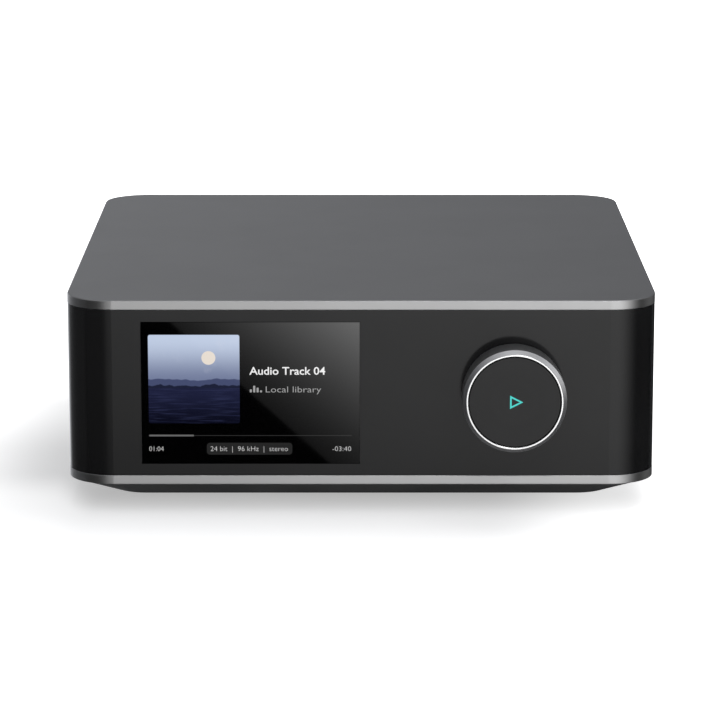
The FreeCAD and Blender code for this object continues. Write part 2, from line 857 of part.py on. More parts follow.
def make_display():
    """Cover glass, display panel, its tray, the bracket that holds them and the flexible lead."""
    node(window_box("display_lens", 0, fascia_front, fascia_back), "display_lens")
    panel_back = fascia_back + d.panel_depth
    node(window_box("display_panel", d.panel_margin, fascia_back, panel_back), "display_panel")
    tray_back = panel_back + d.frame_wall
    tray = window_box("tray_outside", d.panel_margin + d.frame_wall, fascia_back, tray_back)
    hollow = window_box("tray_inside", d.panel_margin, fascia_back, panel_back)
    node(cut("display_frame", tray, hollow), "display_frame")

    body = start_body("display_bracket")
    plate = sketch_on(body, "XZ_Plane", lift=-tray_back)
    half_w = display_boss_across + d.boss_radius
    half_h = window_height / 2
    draw_box(plate, window_x - half_w, window_x + half_w, window_z - half_h, window_z + half_h)
    for x, z in DISPLAY_SCREWS:
        draw_circle(plate, x, z, d.screw_radius)
    pad(body, plate, d.bracket_plate, reverse=True)
    node(body, "display_bracket")

    body = start_body("display_flex")
    side = sketch_on(body, "YZ_Plane", lift=window_x + d.flex_shift - d.flex_width / 2)
    thick = d.flex_thickness
    tray_low = window_z - window_height / 2 - d.panel_margin - d.frame_wall
    level_end = tray_back + d.flex_run
    top = d.board_top_z
    edge_y = d.main_board_front - thick
    landing = d.main_board_front + d.ribbon_landing
    outline = (
        (fascia_back + thick, tray_low - thick),
        (level_end, tray_low - thick),
        (edge_y, top),
        (landing, top),
        (landing, top + thick),
        (edge_y, top + thick),
        (level_end, tray_low),
        (fascia_back + thick, tray_low),
    )
    draw_outline(side, outline)
    pad(body, side, d.flex_width)
    return node(body, "display_flex")


# Knob, play button and encoder


def make_volume_knob():
    """The aluminium knob: a rim with a bevelled edge, a floor, and a hub on the encoder shaft."""
    radius = d.knob_radius
    floor_front = knob_front + d.knob_floor_depth
    floor_back = floor_front + d.knob_floor
    back = fascia_front - d.knob_gap
    trim_outer = d.trim_inner_radius + d.trim_width
    profile = (
        (floor_front, d.shaft_outer_radius),
        (floor_front, d.trim_inner_radius),
        (knob_front + d.trim_depth, d.trim_inner_radius),
        (knob_front + d.trim_depth, trim_outer),
        (knob_front, trim_outer),
        (knob_front, radius - d.knob_bevel_width),
        (knob_front + d.knob_bevel_depth, radius),
        (back, radius),
        (back, radius - d.knob_skirt_wall),
        (floor_back, radius - d.knob_skirt_wall),
        (floor_back, d.knob_hub_radius),
        (back, d.knob_hub_radius),
        (back, d.shaft_outer_radius),
    )
    return node(turned("volume_knob", knob_x, knob_z, profile), "volume_knob")


def make_knob_trim_ring():
    """The thin bright ring that edges the face of the knob."""
    inner = d.trim_inner_radius
    outer = inner + d.trim_width
    front = knob_front - d.trim_proud
    profile = (
        (knob_front + d.trim_depth, inner),
        (front + d.trim_break, inner),
        (front, inner + d.trim_break),
        (front, outer - d.trim_break),
        (front + d.trim_break, outer),
        (knob_front + d.trim_depth, outer),
    )
    return node(turned("knob_trim_ring", knob_x, knob_z, profile), "knob_trim_ring")


def draw_triangle(sketch, reach):
    """Draws the play triangle, grown outwards by reach, about the middle of the knob."""
    rise = d.icon_height / 2 + d.icon_corner_growth * reach
    left = -d.icon_left - reach
    tip = d.icon_length - d.icon_left + d.icon_tip_growth * reach
    draw_outline(sketch, ((left, -rise), (tip, 0), (left, rise)))


def make_play_button():
    """The round button in the knob, with the outline triangle cut through it for the light."""
    front = button_front
    profile = (
        (front + d.button_dish, 0),
        (front, d.button_radius - d.fine_break),
        (front + d.fine_break, d.button_radius),
        (button_back, d.button_radius),
        (button_back, 0),
    )
    body = turned("play_button", knob_x, knob_z, profile)
    doc.recompute()
    icon = sketch_on(body, "XZ_Plane", lift=-button_back, across=knob_x, up=knob_z)
    draw_triangle(icon, 0)
    draw_triangle(icon, -d.icon_stroke)
    pocket(body, icon, d.button_thickness, reverse=True)
    return node(body, "play_button")


def make_play_icon_lens():
    """The clear triangle that fills the cut in the button."""
    body = start_body("play_icon_lens")
    icon = sketch_on(body, "XZ_Plane", lift=-button_back, across=knob_x, up=knob_z)
    draw_triangle(icon, 0)
    draw_triangle(icon, -d.icon_stroke)
    pad(body, icon, d.button_thickness - d.button_dish)
    return node(body, "play_icon_lens")


def make_encoder():
    """Encoder body and hollow shaft, the button's guide, its stem, the switch and its actuator."""
    fit = d.running_clearance
    cave_front = fascia_back + d.encoder_front_wall
    disc_front = cave_front + d.detent_gap
    disc_back = disc_front + d.detent_thickness
    cave_back = disc_back + d.detent_gap
    bore = d.shaft_outer_radius + fit
    cave_radius = d.detent_radius + d.detent_gap
    housing = (
        (fascia_back, bore),
        (fascia_back, d.encoder_radius),
        (board_front, d.encoder_radius),
        (board_front, bore),
        (cave_back, bore),
        (cave_back, cave_radius),
        (cave_front, cave_radius),
        (cave_front, bore),
    )
    node(turned("encoder_body", knob_x, knob_z, housing), "encoder_body")
    shaft_front = knob_front + d.knob_floor_depth
    shaft_back = board_front - d.detent_gap
    shaft = (
        (shaft_front, d.shaft_inner_radius),
        (shaft_front, d.shaft_outer_radius),
        (disc_front, d.shaft_outer_radius),
        (disc_front, d.detent_radius),
        (disc_back, d.detent_radius),
        (disc_back, d.shaft_outer_radius),
        (shaft_back, d.shaft_outer_radius),
        (shaft_back, d.shaft_inner_radius),
    )
    node(turned("encoder_shaft", knob_x, knob_z, shaft), "encoder_shaft")
    bore = d.stem_radius + d.stem_clearance
    guide_front = board_front - d.guide_length
    guide = (
        (guide_front, bore),
        (guide_front, bore + d.guide_wall),
        (board_front, bore + d.guide_wall),
        (board_front, bore),
    )
    node(turned("button_guide", knob_x, knob_z, guide), "button_guide")
    node(rod("light_guide_stem", knob_x, knob_z, d.stem_radius, button_back, stem_back), "light_guide_stem")
    half = d.switch_side / 2
    case = box(
        "switch_case", knob_x - half, knob_x + half, switch_front, board_front, knob_z - half, knob_z + half
    )
    well_radius = d.actuator_radius + d.actuator_gap
    well = rod("switch_well", knob_x, knob_z, well_radius, switch_front, switch_front + d.actuator_well)
    node(cut("play_switch", case, well), "play_switch")
    tip_back = stem_back + d.actuator_length
    actuator = rod("switch_actuator", knob_x, knob_z, d.actuator_radius, stem_back, tip_back)
    return node(actuator, "switch_actuator")


def make_front_board():
    """The board behind the knob, its ribbon to the main board, and the antenna board beside it."""
    body = start_body("front_board")
    plate = sketch_on(body, "XZ_Plane", lift=-board_front)
    half_w = d.front_board_width / 2
    half_h = d.front_board_height / 2
    draw_box(plate, knob_x - half_w, knob_x + half_w, knob_z - half_h, knob_z + half_h)
    for x, z in FRONT_BOARD_SCREWS:
        draw_circle(plate, x, z, d.screw_radius)
    pad(body, plate, d.board_thickness, reverse=True)
    node(body, "front_board")

    body = start_body("front_ribbon")
    half_ribbon = d.ribbon_width / 2
    side = sketch_on(body, "YZ_Plane", lift=knob_x - half_ribbon)
    thick = d.ribbon_thickness
    top = knob_z - d.ribbon_drop
    low = d.board_top_z
    rear = d.main_board_front + d.ribbon_landing
    outline = (
        (board_back, top),
        (board_back + thick, top),
        (board_back + thick, low + thick * 2),
        (rear, low + thick * 2),
        (rear, low),
        (rear - thick, low),
        (rear - thick, low + thick),
        (board_back, low + thick),
    )
    draw_outline(side, outline)
    pad(body, side, d.ribbon_width)
    node(body, "front_ribbon")
    antenna = box(
        "antenna_board",
        antenna_left,
        antenna_right,
        fascia_back,
        fascia_back + d.antenna_thickness,
        window_z - antenna_half,
        window_z + antenna_half,
    )
    return node(antenna, "antenna_board")


# Screws


def screw_along_y(name, x, z, seat, length, outwards):
    """A pan head screw along Y. Its head rests on seat and stands out along outwards."""
    head = seat + d.screw_head_height * outwards
    tip = seat - length * outwards
    profile = (
        (head, 0),
        (head, d.screw_head_radius),
        (seat, d.screw_head_radius),
        (seat, d.screw_radius),
        (tip, d.screw_radius),
        (tip, 0),
    )
    solid = turned(name, x, z, profile)
    half_slot = d.screw_slot_width / 2
    half_length = d.screw_slot_length / 2
    slot_end = head - d.screw_slot_depth * outwards
    front, rear = sorted((head, slot_end), key=lambda size: size.number)
    long_x = (x - half_length, x + half_length)
    long_z = (z - half_length, z + half_length)
    flat = box(name + "_flat", *long_x, front, rear, z - half_slot, z + half_slot)
    tall = box(name + "_tall", x - half_slot, x + half_slot, front, rear, *long_z)
    return cut(name + "_cut", solid, flat, tall)


def screw_along_z(name, x, y, seat, length, outwards):
    """A pan head screw along Z. Its head rests on seat and stands out along outwards."""
    head = seat + d.screw_head_height * outwards
    tip = seat - length * outwards
    profile = (
        (0, head),
        (d.screw_head_radius, head),
        (d.screw_head_radius, seat),
        (d.screw_radius, seat),
        (d.screw_radius, tip),
        (0, tip),
    )
    solid = upright(name, x, y, profile)
    half_slot = d.screw_slot_width / 2
    half_length = d.screw_slot_length / 2
    slot_end = head - d.screw_slot_depth * outwards
    low, high = sorted((head, slot_end), key=lambda size: size.number)
    long_x = (x - half_length, x + half_length)
    long_y = (y - half_length, y + half_length)
    flat = box(name + "_flat", *long_x, y - half_slot, y + half_slot, low, high)
    tall = box(name + "_tall", x - half_slot, x + half_slot, *long_y, low, high)
    return cut(name + "_cut", solid, flat, tall)


def make_screws():
    base_seat = base_bottom + d.base_head_sink
    base_length = rim_bottom - base_seat + d.screw_length
    base = [screw_along_z("base_screw", x, y, base_seat, base_length, -1) for x, y in POST_SCREWS]
    node(group("base_screws", base), "base_screws")
    rear_length = panel_outer_y - panel_inner_y + d.screw_length
    rear = [screw_along_y("rear_screw", x, z, panel_outer_y, rear_length, 1) for x, z in REAR_SCREWS]
    node(group("rear_screws", rear), "rear_screws")
    bracket_back = fascia_back + d.panel_depth + d.frame_wall + d.bracket_plate
    short = d.small_screw_length
    front = [screw_along_y("display_screw", x, z, bracket_back, short, 1) for x, z in DISPLAY_SCREWS]
    front += [screw_along_y("board_screw", x, z, board_back, short, 1) for x, z in FRONT_BOARD_SCREWS]
    node(group("front_screws", front), "front_screws")
    flat = [
        screw_along_z("flat_screw", x, y, d.board_top_z, short, 1)
        for x, y in MAIN_STANDOFFS + SUPPLY_STANDOFFS
    ]
    return node(group("board_screws", flat), "board_screws")


# Rear panel and its sockets


def make_rear_panel():
    """The black plate that closes the back, with a hole for each socket, post and screw."""
    body = start_body("rear_panel")
    lap = d.rear_flange_lap
    flange = sketch_on(body, "XZ_Plane", lift=-panel_inner_y)
    draw_box(flange, -opening_half - lap, opening_half + lap, opening_low - lap, opening_high + lap)
    pad(body, flange, d.rear_flange, reverse=True)
    gap = d.rear_gap
    plate = sketch_on(body, "XZ_Plane", lift=-inner_rear_y)
    draw_box(plate, -opening_half + gap, opening_half - gap, opening_low + gap, opening_high - gap)
    pad(body, plate, panel_outer_y - inner_rear_y, reverse=True)
    holes = sketch_on(body, "XZ_Plane", lift=-panel_outer_y)
    for x, z in REAR_SCREWS:
        draw_circle(holes, x, z, d.screw_radius)
    for x in SPEAKERS:
        draw_circle(holes, x, d.speaker_z, d.insulator_sleeve_radius)
    for x in RCA_PLACES:
        draw_circle(holes, x, d.rca_z, d.rca_radius + gap)
    for x, width, height in (
        (d.lan_x, d.lan_width, d.lan_height),
        (d.usb_x, d.usb_width, d.usb_height),
        (d.hdmi_x, d.hdmi_width, d.hdmi_height),
        (d.optical_x, d.optical_side, d.optical_side),
    ):
        half = width / 2 + gap
        draw_box(holes, x - half, x + half, d.board_top_z - gap, d.board_top_z + height + gap)
    half_w = d.inlet_body_width / 2
    half_h = d.inlet_body_height / 2
    draw_box(holes, inlet_x - half_w, inlet_x + half_w, d.inlet_z - half_h, d.inlet_z + half_h)
    pocket(body, holes, panel_outer_y - panel_inner_y, reverse=True)
    return node(body, "rear_panel")


def make_speaker_posts():
    """Four speaker posts. Each has an insulator, a stud with a plug bore, a nut, a clamp and a cap."""
    flange_back = panel_outer_y + d.insulator_flange
    clamp_front = flange_back + d.clamp_seat_gap
    clamp_back = clamp_front + d.clamp_thickness
    cap_front = clamp_back + d.cap_gap
    cap_back = cap_front + d.cap_length
    stud_end = cap_back - d.cap_lip - d.cap_thread_gap
    nut_front = panel_inner_y - d.insulator_nut_side - d.nut_thickness
    insulator = (
        (panel_inner_y - d.insulator_nut_side, d.stud_radius),
        (panel_inner_y - d.insulator_nut_side, d.nut_radius),
        (panel_inner_y, d.nut_radius),
        (panel_inner_y, d.insulator_sleeve_radius),
        (panel_outer_y, d.insulator_sleeve_radius),
        (panel_outer_y, d.insulator_radius),
        (flange_back - d.cap_edge, d.insulator_radius),
        (flange_back, d.insulator_radius - d.cap_edge),
        (flange_back, d.stud_radius),
    )
    stud = (
        (panel_inner_y - d.stud_tail, 0),
        (panel_inner_y - d.stud_tail, d.stud_radius),
        (stud_end, d.stud_radius),
        (stud_end, d.banana_radius),
        (stud_end - d.banana_depth, d.banana_radius),
        (stud_end - d.banana_depth, 0),
    )
    nut = (
        (nut_front, d.stud_radius),
        (nut_front, d.nut_radius),
        (nut_front + d.nut_thickness, d.nut_radius),
        (nut_front + d.nut_thickness, d.stud_radius),
    )
    z = d.speaker_z
    for name, profile in (("post_insulators", insulator), ("post_studs", stud), ("post_nuts", nut)):
        node(group(name, [turned(name + "_one", x, z, profile) for x in SPEAKERS]), name)
    clamp_bore = d.stud_radius + d.clamp_bore_gap
    clamp = (
        (clamp_front, clamp_bore),
        (clamp_front, d.clamp_radius),
        (clamp_back, d.clamp_radius),
        (clamp_back, clamp_bore),
    )
    cap_bore = d.stud_radius + d.cap_thread_gap
    lip_front = cap_back - d.cap_lip
    cap = (
        (cap_front, cap_bore),
        (cap_front, d.cap_radius - d.cap_edge),
        (cap_front + d.cap_edge, d.cap_radius),
        (cap_back - d.cap_edge, d.cap_radius),
        (cap_back, d.cap_radius - d.cap_edge),
        (cap_back, d.cap_mouth_radius),
        (lip_front, d.cap_mouth_radius),
        (lip_front, cap_bore),
    )
    for i, x in enumerate(SPEAKERS, 1):
        node(turned("post_clamp", x, z, clamp), "post_clamp_%d" % i)
        body = turned("post_cap", x, z, cap)
        doc.recompute()
        flute = sketch_on(body, "XZ_Plane", lift=-cap_front, across=x, up=z)
        draw_circle(flute, d.cap_radius + d.cap_flute_offset, 0, d.cap_flute_radius)
        first = pocket(body, flute, d.cap_length)
        flutes = body.newObject("PartDesign::PolarPattern", "flutes")
        flutes.Originals = [first]
        flutes.Axis = (flute, ["N_Axis"])
        flutes.Angle = 360
        flutes.Occurrences = int(d.cap_flute_count.number)
        body.Tip = flutes
        node(body, "post_cap_%d" % i)


def make_rca_sockets():
    """Three round sound sockets: metal sleeves round the cores of one plastic block."""
    z = d.rca_z
    sleeve_back = panel_outer_y + d.rca_reach
    neck_radius = d.rca_radius - d.rca_neck_step
    neck_back = panel_outer_y + d.rca_shoulder
    sleeve = (
        (panel_inner_y - d.rca_flange, d.rca_bore),
        (panel_inner_y - d.rca_flange, d.rca_flange_radius),
        (panel_inner_y, d.rca_flange_radius),
        (panel_inner_y, neck_radius),
        (neck_back, neck_radius),
        (neck_back, d.rca_radius),
        (sleeve_back - d.fine_break, d.rca_radius),
        (sleeve_back, d.rca_radius - d.fine_break),
        (sleeve_back, d.rca_bore),
    )
    sleeves = [turned("rca_sleeve", x, z, sleeve) for x in RCA_PLACES]
    node(group("rca_sleeves", sleeves), "rca_sleeves")
    margin = d.rca_block_margin
    block_back = panel_inner_y - d.rca_flange
    block = box(
        "rca_block",
        RCA_PLACES[-1] - margin,
        RCA_PLACES[0] + margin,
        block_back - d.rca_block_depth,
        block_back,
        d.board_top_z,
        z + margin,
    )
    core_end = sleeve_back - d.rca_core_recess
    cores = [rod("rca_core", x, z, d.rca_bore, block_back, core_end) for x in RCA_PLACES]
    pin_front = core_end - d.rca_pin_depth
    pins = [rod("rca_pin", x, z, d.rca_pin_radius, pin_front, core_end) for x in RCA_PLACES]
    return node(cut("rca_housing", fuse("rca_body", block, *cores), *pins), "rca_housing")


def socket_box(name, x, width, height, depth, lift=0, front=0):
    """A box centred on x that ends at the sockets' face and rises from the board."""
    low = d.board_top_z + lift
    return box(name, x - width / 2, x + width / 2, socket_y - depth, socket_y - front, low, low + height)


def make_data_sockets():
    """Network, memory and picture sockets, each open to the back."""
    case = socket_box("lan_case", d.lan_x, d.lan_width, d.lan_height, d.lan_depth)
    mouth_low = d.lan_mouth_lift + d.lan_notch_height
    deep = d.lan_mouth_depth
    mouth = socket_box("lan_mouth", d.lan_x, d.lan_mouth_width, d.lan_mouth_height, deep, mouth_low)
    notch = socket_box("lan_notch", d.lan_x, d.lan_notch_width, d.lan_notch_height, deep, d.lan_mouth_lift)
    node(cut("lan_socket", case, mouth, notch), "lan_socket")

    case = socket_box("usb_case", d.usb_x, d.usb_width, d.usb_height, d.usb_depth)
    low = d.board_top_z + d.usb_wall
    half = d.usb_width / 2 - d.usb_wall
    hollow = box(
        "usb_hollow",
        d.usb_x - half,
        d.usb_x + half,
        socket_y - d.usb_depth + d.usb_back,
        socket_y,
        low,
        d.board_top_z + d.usb_height - d.usb_wall,
    )
    half = d.usb_tongue_width / 2
    tongue_high = d.board_top_z + d.usb_height - d.usb_wall * 2
    tongue_front = socket_y - d.usb_depth + d.usb_back
    tongue = box(
        "usb_tongue",
        d.usb_x - half,
        d.usb_x + half,
        tongue_front,
        tongue_front + d.usb_tongue_reach,
        tongue_high - d.usb_tongue_height,
        tongue_high,
    )
    node(fuse("usb_socket", cut("usb_shell", case, hollow), tongue), "usb_socket")

    body = start_body("hdmi_socket")
    front = socket_y - d.hdmi_depth
    low = d.board_top_z

    def trapezoid(sketch, wall):
        half = d.hdmi_width / 2 - wall
        bottom = low + wall
        top = low + d.hdmi_height - wall
        rise = d.hdmi_bevel_rise
        narrow = half - d.hdmi_bevel
        draw_outline(
            sketch,
            (
                (d.hdmi_x - narrow, bottom),
                (d.hdmi_x + narrow, bottom),
                (d.hdmi_x + half, bottom + rise),
                (d.hdmi_x + half, top),
                (d.hdmi_x - half, top),
                (d.hdmi_x - half, bottom + rise),
            ),
        )

    outside = sketch_on(body, "XZ_Plane", lift=-front)
    trapezoid(outside, 0)
    pad(body, outside, d.hdmi_depth, reverse=True)
    inside = sketch_on(body, "XZ_Plane", lift=-socket_y)
    trapezoid(inside, d.hdmi_wall)
    pocket(body, inside, d.hdmi_depth - d.hdmi_back, reverse=True)
    tongue = sketch_on(body, "XZ_Plane", lift=-front)
    half = d.hdmi_tongue_width / 2
    middle = low + d.hdmi_height / 2
    draw_box(
        tongue,
        d.hdmi_x - half,
        d.hdmi_x + half,
        middle - d.hdmi_tongue_height / 2,
        middle + d.hdmi_tongue_height / 2,
    )
    pad(body, tongue, d.hdmi_back + d.hdmi_tongue_reach, reverse=True)
    return node(body, "hdmi_socket")


def make_optical_socket():
    """The optical socket and its small sprung shutter, which swings inwards on two pins at its top."""
    case = socket_box("optical_case", d.optical_x, d.optical_side, d.optical_side, d.optical_depth)
    half = d.optical_mouth / 2
    middle = d.board_top_z + d.optical_lift
    well = box(
        "optical_hole",
        d.optical_x - half,
        d.optical_x + half,
        socket_y - d.optical_well,
        socket_y,
        middle - half,
        middle + half,
    )
    shutter_half = half - d.shutter_gap
    rear = socket_y - d.shutter_recess
    front = rear - d.shutter_thickness
    hinge_y = rear - d.shutter_thickness / 2
    hinge_z = middle + shutter_half - d.shutter_hinge_radius
    pin_half = half + d.shutter_pin_reach
    hole_radius = d.shutter_pin_radius + d.running_clearance
    hole = axle("shutter_hole", d.optical_x, pin_half + d.shutter_gap, hinge_y, hinge_z, hole_radius)
    node(cut("optical_socket", case, well, hole), "optical_socket")
    plate = box(
        "shutter_plate",
        d.optical_x - shutter_half,
        d.optical_x + shutter_half,
        front,
        rear,
        middle - shutter_half,
        hinge_z,
    )
    barrel = axle("shutter_barrel", d.optical_x, shutter_half, hinge_y, hinge_z, d.shutter_hinge_radius)
    pin = axle("shutter_pin", d.optical_x, pin_half, hinge_y, hinge_z, d.shutter_pin_radius)
    return node(fuse("optical_shutter", plate, barrel, pin), "optical_shutter")


def make_power_inlet():
    """The two-pin mains inlet, with its flange on the outside of the rear panel."""
    body = start_body("power_inlet")
    back = panel_outer_y + d.inlet_flange
    half_w = d.inlet_flange_width / 2
    half_h = d.inlet_flange_height / 2
    x = inlet_x
    z = d.inlet_z
    flange = sketch_on(body, "XZ_Plane", lift=-panel_outer_y)
    draw_round_box(flange, x - half_w, x + half_w, z - half_h, z + half_h, d.inlet_flange_corner)
    pad(body, flange, d.inlet_flange, reverse=True)
    half_w = d.inlet_body_width / 2
    half_h = d.inlet_body_height / 2
    barrel = sketch_on(body, "XZ_Plane", lift=-panel_outer_y)
    draw_box(barrel, x - half_w, x + half_w, z - half_h, z + half_h)
    pad(body, barrel, d.inlet_body_depth)
    half_w = d.inlet_mouth_width / 2
    half_h = d.inlet_mouth_height / 2
    mouth = sketch_on(body, "XZ_Plane", lift=-back)
    draw_round_box(mouth, x - half_w, x + half_w, z - half_h, z + half_h, half_h - d.trim_break)
    pocket(body, mouth, d.inlet_mouth_depth, reverse=True)
    pins = sketch_on(body, "XZ_Plane", lift=-back)
    places = [x + d.inlet_pin_pitch / 2 * side for side in SIDES]
    for place in places:
        draw_circle(pins, place, z, d.inlet_pin_radius)
    pocket(body, pins, d.inlet_flange + d.inlet_body_depth, reverse=True)
    node(body, "power_inlet")
    floor = back - d.inlet_mouth_depth
    tail = panel_outer_y - d.inlet_body_depth - d.inlet_pin_tail
    tip = floor + d.inlet_pin_reach
    rods = [rod("inlet_pin", place, z, d.inlet_pin_radius, tail, tip) for place in places]
    return node(group("inlet_pins", rods), "inlet_pins")


# Boards and what they carry


def make_boards():
    """Main board and supply board on brass standoffs."""
    main = (d.main_board_left, main_board_right, d.main_board_front, main_board_rear)
    supply = (supply_board_left, d.supply_board_right, d.supply_board_front, d.supply_board_rear)
    for name, edges, places in (
        ("main_board", main, MAIN_STANDOFFS),
        ("supply_board", supply, SUPPLY_STANDOFFS),
    ):
        body = start_body(name)
        plate = sketch_on(body, "XY_Plane", lift=board_low)
        draw_box(plate, *edges)
        for x, y in places:
            draw_circle(plate, x, y, d.screw_radius)
        pad(body, plate, d.board_thickness)
        node(body, name)
    profile = (
        (d.screw_radius, base_floor),
        (d.standoff_radius, base_floor),
        (d.standoff_radius, board_low),
        (d.screw_radius, board_low),
    )
    tubes = [upright("standoff", x, y, profile) for x, y in MAIN_STANDOFFS + SUPPLY_STANDOFFS]
    return node(group("board_standoffs", tubes), "board_standoffs")


def board_part(name, x, y, width, length, height, lift=0):
    """A box on a board, centred on x and y."""
    low = d.board_top_z + lift
    return box(name, x - width / 2, x + width / 2, y - length / 2, y + length / 2, low, low + height)


def make_main_board_parts():
    """Chips, heat sink, output coils and supply capacitors."""
    side = d.processor_side
    chips = [
        board_part("amplifier_chip", d.sink_x, d.sink_y, d.amp_chip_side, d.amp_chip_side, d.amp_chip_height),
        board_part("processor", d.processor_x, d.processor_y, side, side, d.processor_height),
        board_part("radio", d.radio_x, d.radio_y, d.radio_width, d.radio_length, d.radio_height),
    ]
    node(group("main_chips", chips), "main_chips")

    body = start_body("heat_sink")
    low = d.board_top_z + d.amp_chip_height
    half_w = d.sink_width / 2
    half_l = d.sink_length / 2
    block = sketch_on(body, "XY_Plane", lift=low)
    draw_box(block, d.sink_x - half_w, d.sink_x + half_w, d.sink_y - half_l, d.sink_y + half_l)
    pad(body, block, d.sink_height)
    slot = sketch_on(body, "XZ_Plane", lift=-(d.sink_y + half_l))
    pitch = d.sink_width / d.fin_count
    slot_left = d.sink_x - half_w + pitch - d.fin_gap / 2
    draw_box(slot, slot_left, slot_left + d.fin_gap, low + d.sink_base, low + d.sink_height)
    slot_cut = pocket(body, slot, d.sink_length, reverse=True)
    slots = body.newObject("PartDesign::LinearPattern", "slots")
    slots.Originals = [slot_cut]
    slots.Direction = (slot, ["H_Axis"])
    bind(slots, "Length", pitch * (d.fin_count - 2))
    slots.Occurrences = int(d.fin_count.number) - 1
    body.Tip = slots
    node(body, "heat_sink")

    half = d.inductor_side / 2
    coils = []
    for x in SPEAKERS:
        body = start_body("output_coil")
        sketch = sketch_on(body, "XY_Plane", lift=d.board_top_z)
        draw_round_box(sketch, x - half, x + half, d.inductor_y - half, d.inductor_y + half, d.inductor_bevel)
        pad(body, sketch, d.inductor_height)
        coils.append(body)
    node(group("output_coils", coils), "output_coils")
    low = d.board_top_z
    cans = [
        drum(
            "capacitor",
            d.capacitor_x,
            d.capacitor_y + d.capacitor_pitch * i,
            d.capacitor_radius,
            low,
            low + d.capacitor_height,
        )
        for i in range(2)
    ]
    cans.append(
        drum(
            "mains_capacitor",
            supply_row_x,
            d.mains_capacitor_y,
            d.mains_capacitor_radius,
            low,
            low + d.mains_capacitor_height,
        )
    )
    return node(group("capacitors", cans), "capacitors")


def make_supply_parts():
    """The switching transformer and the mains choke."""
    core = board_part(
        "transformer_core",
        supply_row_x,
        d.transformer_y,
        d.core_width,
        d.core_length,
        d.core_height,
    )
    winding = board_part(
        "transformer_winding",
        supply_row_x,
        d.transformer_y,
        d.winding_width,
        d.winding_length,
        d.winding_height,
        d.transformer_lift,
    )
    node(fuse("transformer", core, winding), "transformer")
    ring = doc.addObject("Part::Torus", "choke_ring")
    ring.Placement.Rotation = FreeCAD.Rotation(FreeCAD.Vector(0, 1, 0), 90)
    bind(ring, "Radius1", d.choke_radius)
    bind(ring, "Radius2", d.choke_section)
    bind(ring, "Placement.Base.x", supply_row_x)
    bind(ring, "Placement.Base.y", d.choke_y)
    bind(ring, "Placement.Base.z", d.board_top_z + d.choke_radius + d.choke_section)
    foot = board_part(
        "choke_foot",
        supply_row_x,
        d.choke_y,
        d.choke_section * 2,
        d.choke_radius * 2,
        d.choke_section,
    )
    return node(fuse("mains_choke", ring, foot), "mains_choke")


def lead(places, radius):
    """A round lead along straight runs joined by arcs that are as wide as the runs allow."""
    corners = [FreeCAD.Vector(*[as_size(value).number for value in place]) for place in places]
    edges = []
    start = corners[0]
    for before, here, after in zip(corners, corners[1:], corners[2:]):
        back = before - here
        ahead = after - here
        reach = 0.45 * min(back.Length, ahead.Length)
        back.normalize()
        ahead.normalize()
        half_angle = back.getAngle(ahead) / 2
        middle = back + ahead
        middle.normalize()
        arc_start = here + back * reach
        arc_end = here + ahead * reach
        bulge = here + middle * (reach / math.cos(half_angle) - reach * math.tan(half_angle))
        edges.append(Part.LineSegment(start, arc_start).toShape())
        edges.append(Part.Arc(arc_start, bulge, arc_end).toShape())
        start = arc_end
    edges.append(Part.LineSegment(start, corners[-1]).toShape())
    path = Part.Wire(edges)
    direction = corners[1] - corners[0]
    section = Part.Wire([Part.Circle(corners[0], direction, radius.number).toShape()])
    solid = path.makePipeShell([section], True, False)
    expected = math.pi * radius.number**2 * path.Length
    if abs(solid.Volume - expected) > 0.01 * expected:
        raise ValueError("a lead's volume does not match its length")
    return solid


def leads(name, routes, radius):
    """A node of one or more leads."""
    feature = doc.addObject("Part::Feature", name)
    solids = [lead(route, radius) for route in routes]
    feature.Shape = solids[0] if len(solids) == 1 else Part.Compound(solids)
    feature.Placement = FreeCAD.Placement()
    return node(feature, name)


def make_leads():
    """Speaker leads, mains leads, the supply harness and the antenna lead."""
    top = d.board_top_z
    stud_front = panel_inner_y - d.stud_tail
    bend = d.lead_bend
    routes = [
        (
            (x, stud_front, d.speaker_z),
            (x, stud_front - bend, d.speaker_z),
            (x, stud_front - bend, top),
        )
        for x in SPEAKERS
    ]
    leads("speaker_leads", routes, d.lead_radius)
    tail = panel_outer_y - d.inlet_body_depth - d.inlet_pin_tail
    end_y = d.supply_board_rear - d.standoff_inset / 2
    routes = [
        (
            (inlet_x + d.inlet_pin_pitch / 2 * side, tail, d.inlet_z),
            (inlet_x + d.inlet_pin_pitch / 2 * side, end_y, d.inlet_z),
            (inlet_x + d.inlet_pin_pitch / 2 * side, end_y, top),
        )
        for side in SIDES
    ]
    leads("mains_leads", routes, d.lead_radius)
    left = d.supply_board_right - d.standoff_inset
    right = d.main_board_left + d.standoff_inset
    routes = [
        (
            (left, d.harness_y + d.harness_pitch * i, top),
            (left, d.harness_y + d.harness_pitch * i, top + d.harness_rise),
            (right, d.harness_y + d.harness_pitch * i, top + d.harness_rise),
            (right, d.harness_y + d.harness_pitch * i, top),
        )
        for i in range(4)
    ]
    leads("supply_harness", routes, d.lead_radius)
    start_x = (antenna_left + antenna_right) / 2
    start_y = fascia_back + d.antenna_thickness
    start_z = window_z
    radio_z = top + d.radio_height
    route = (
        (start_x, start_y, start_z),
        (start_x, start_y + bend, start_z),
        (d.radio_x, d.radio_y - bend, start_z),
        (d.radio_x, d.radio_y, start_z),
        (d.radio_x, d.radio_y, radio_z),
    )
    return leads("antenna_lead", [route], d.thin_lead_radius)


def check(thing):
    """Stops the build if an object failed."""
    for state in thing.State:
        if state in ("Invalid", "Error"):
            raise ValueError("%s is %s" % (thing.Label, state))


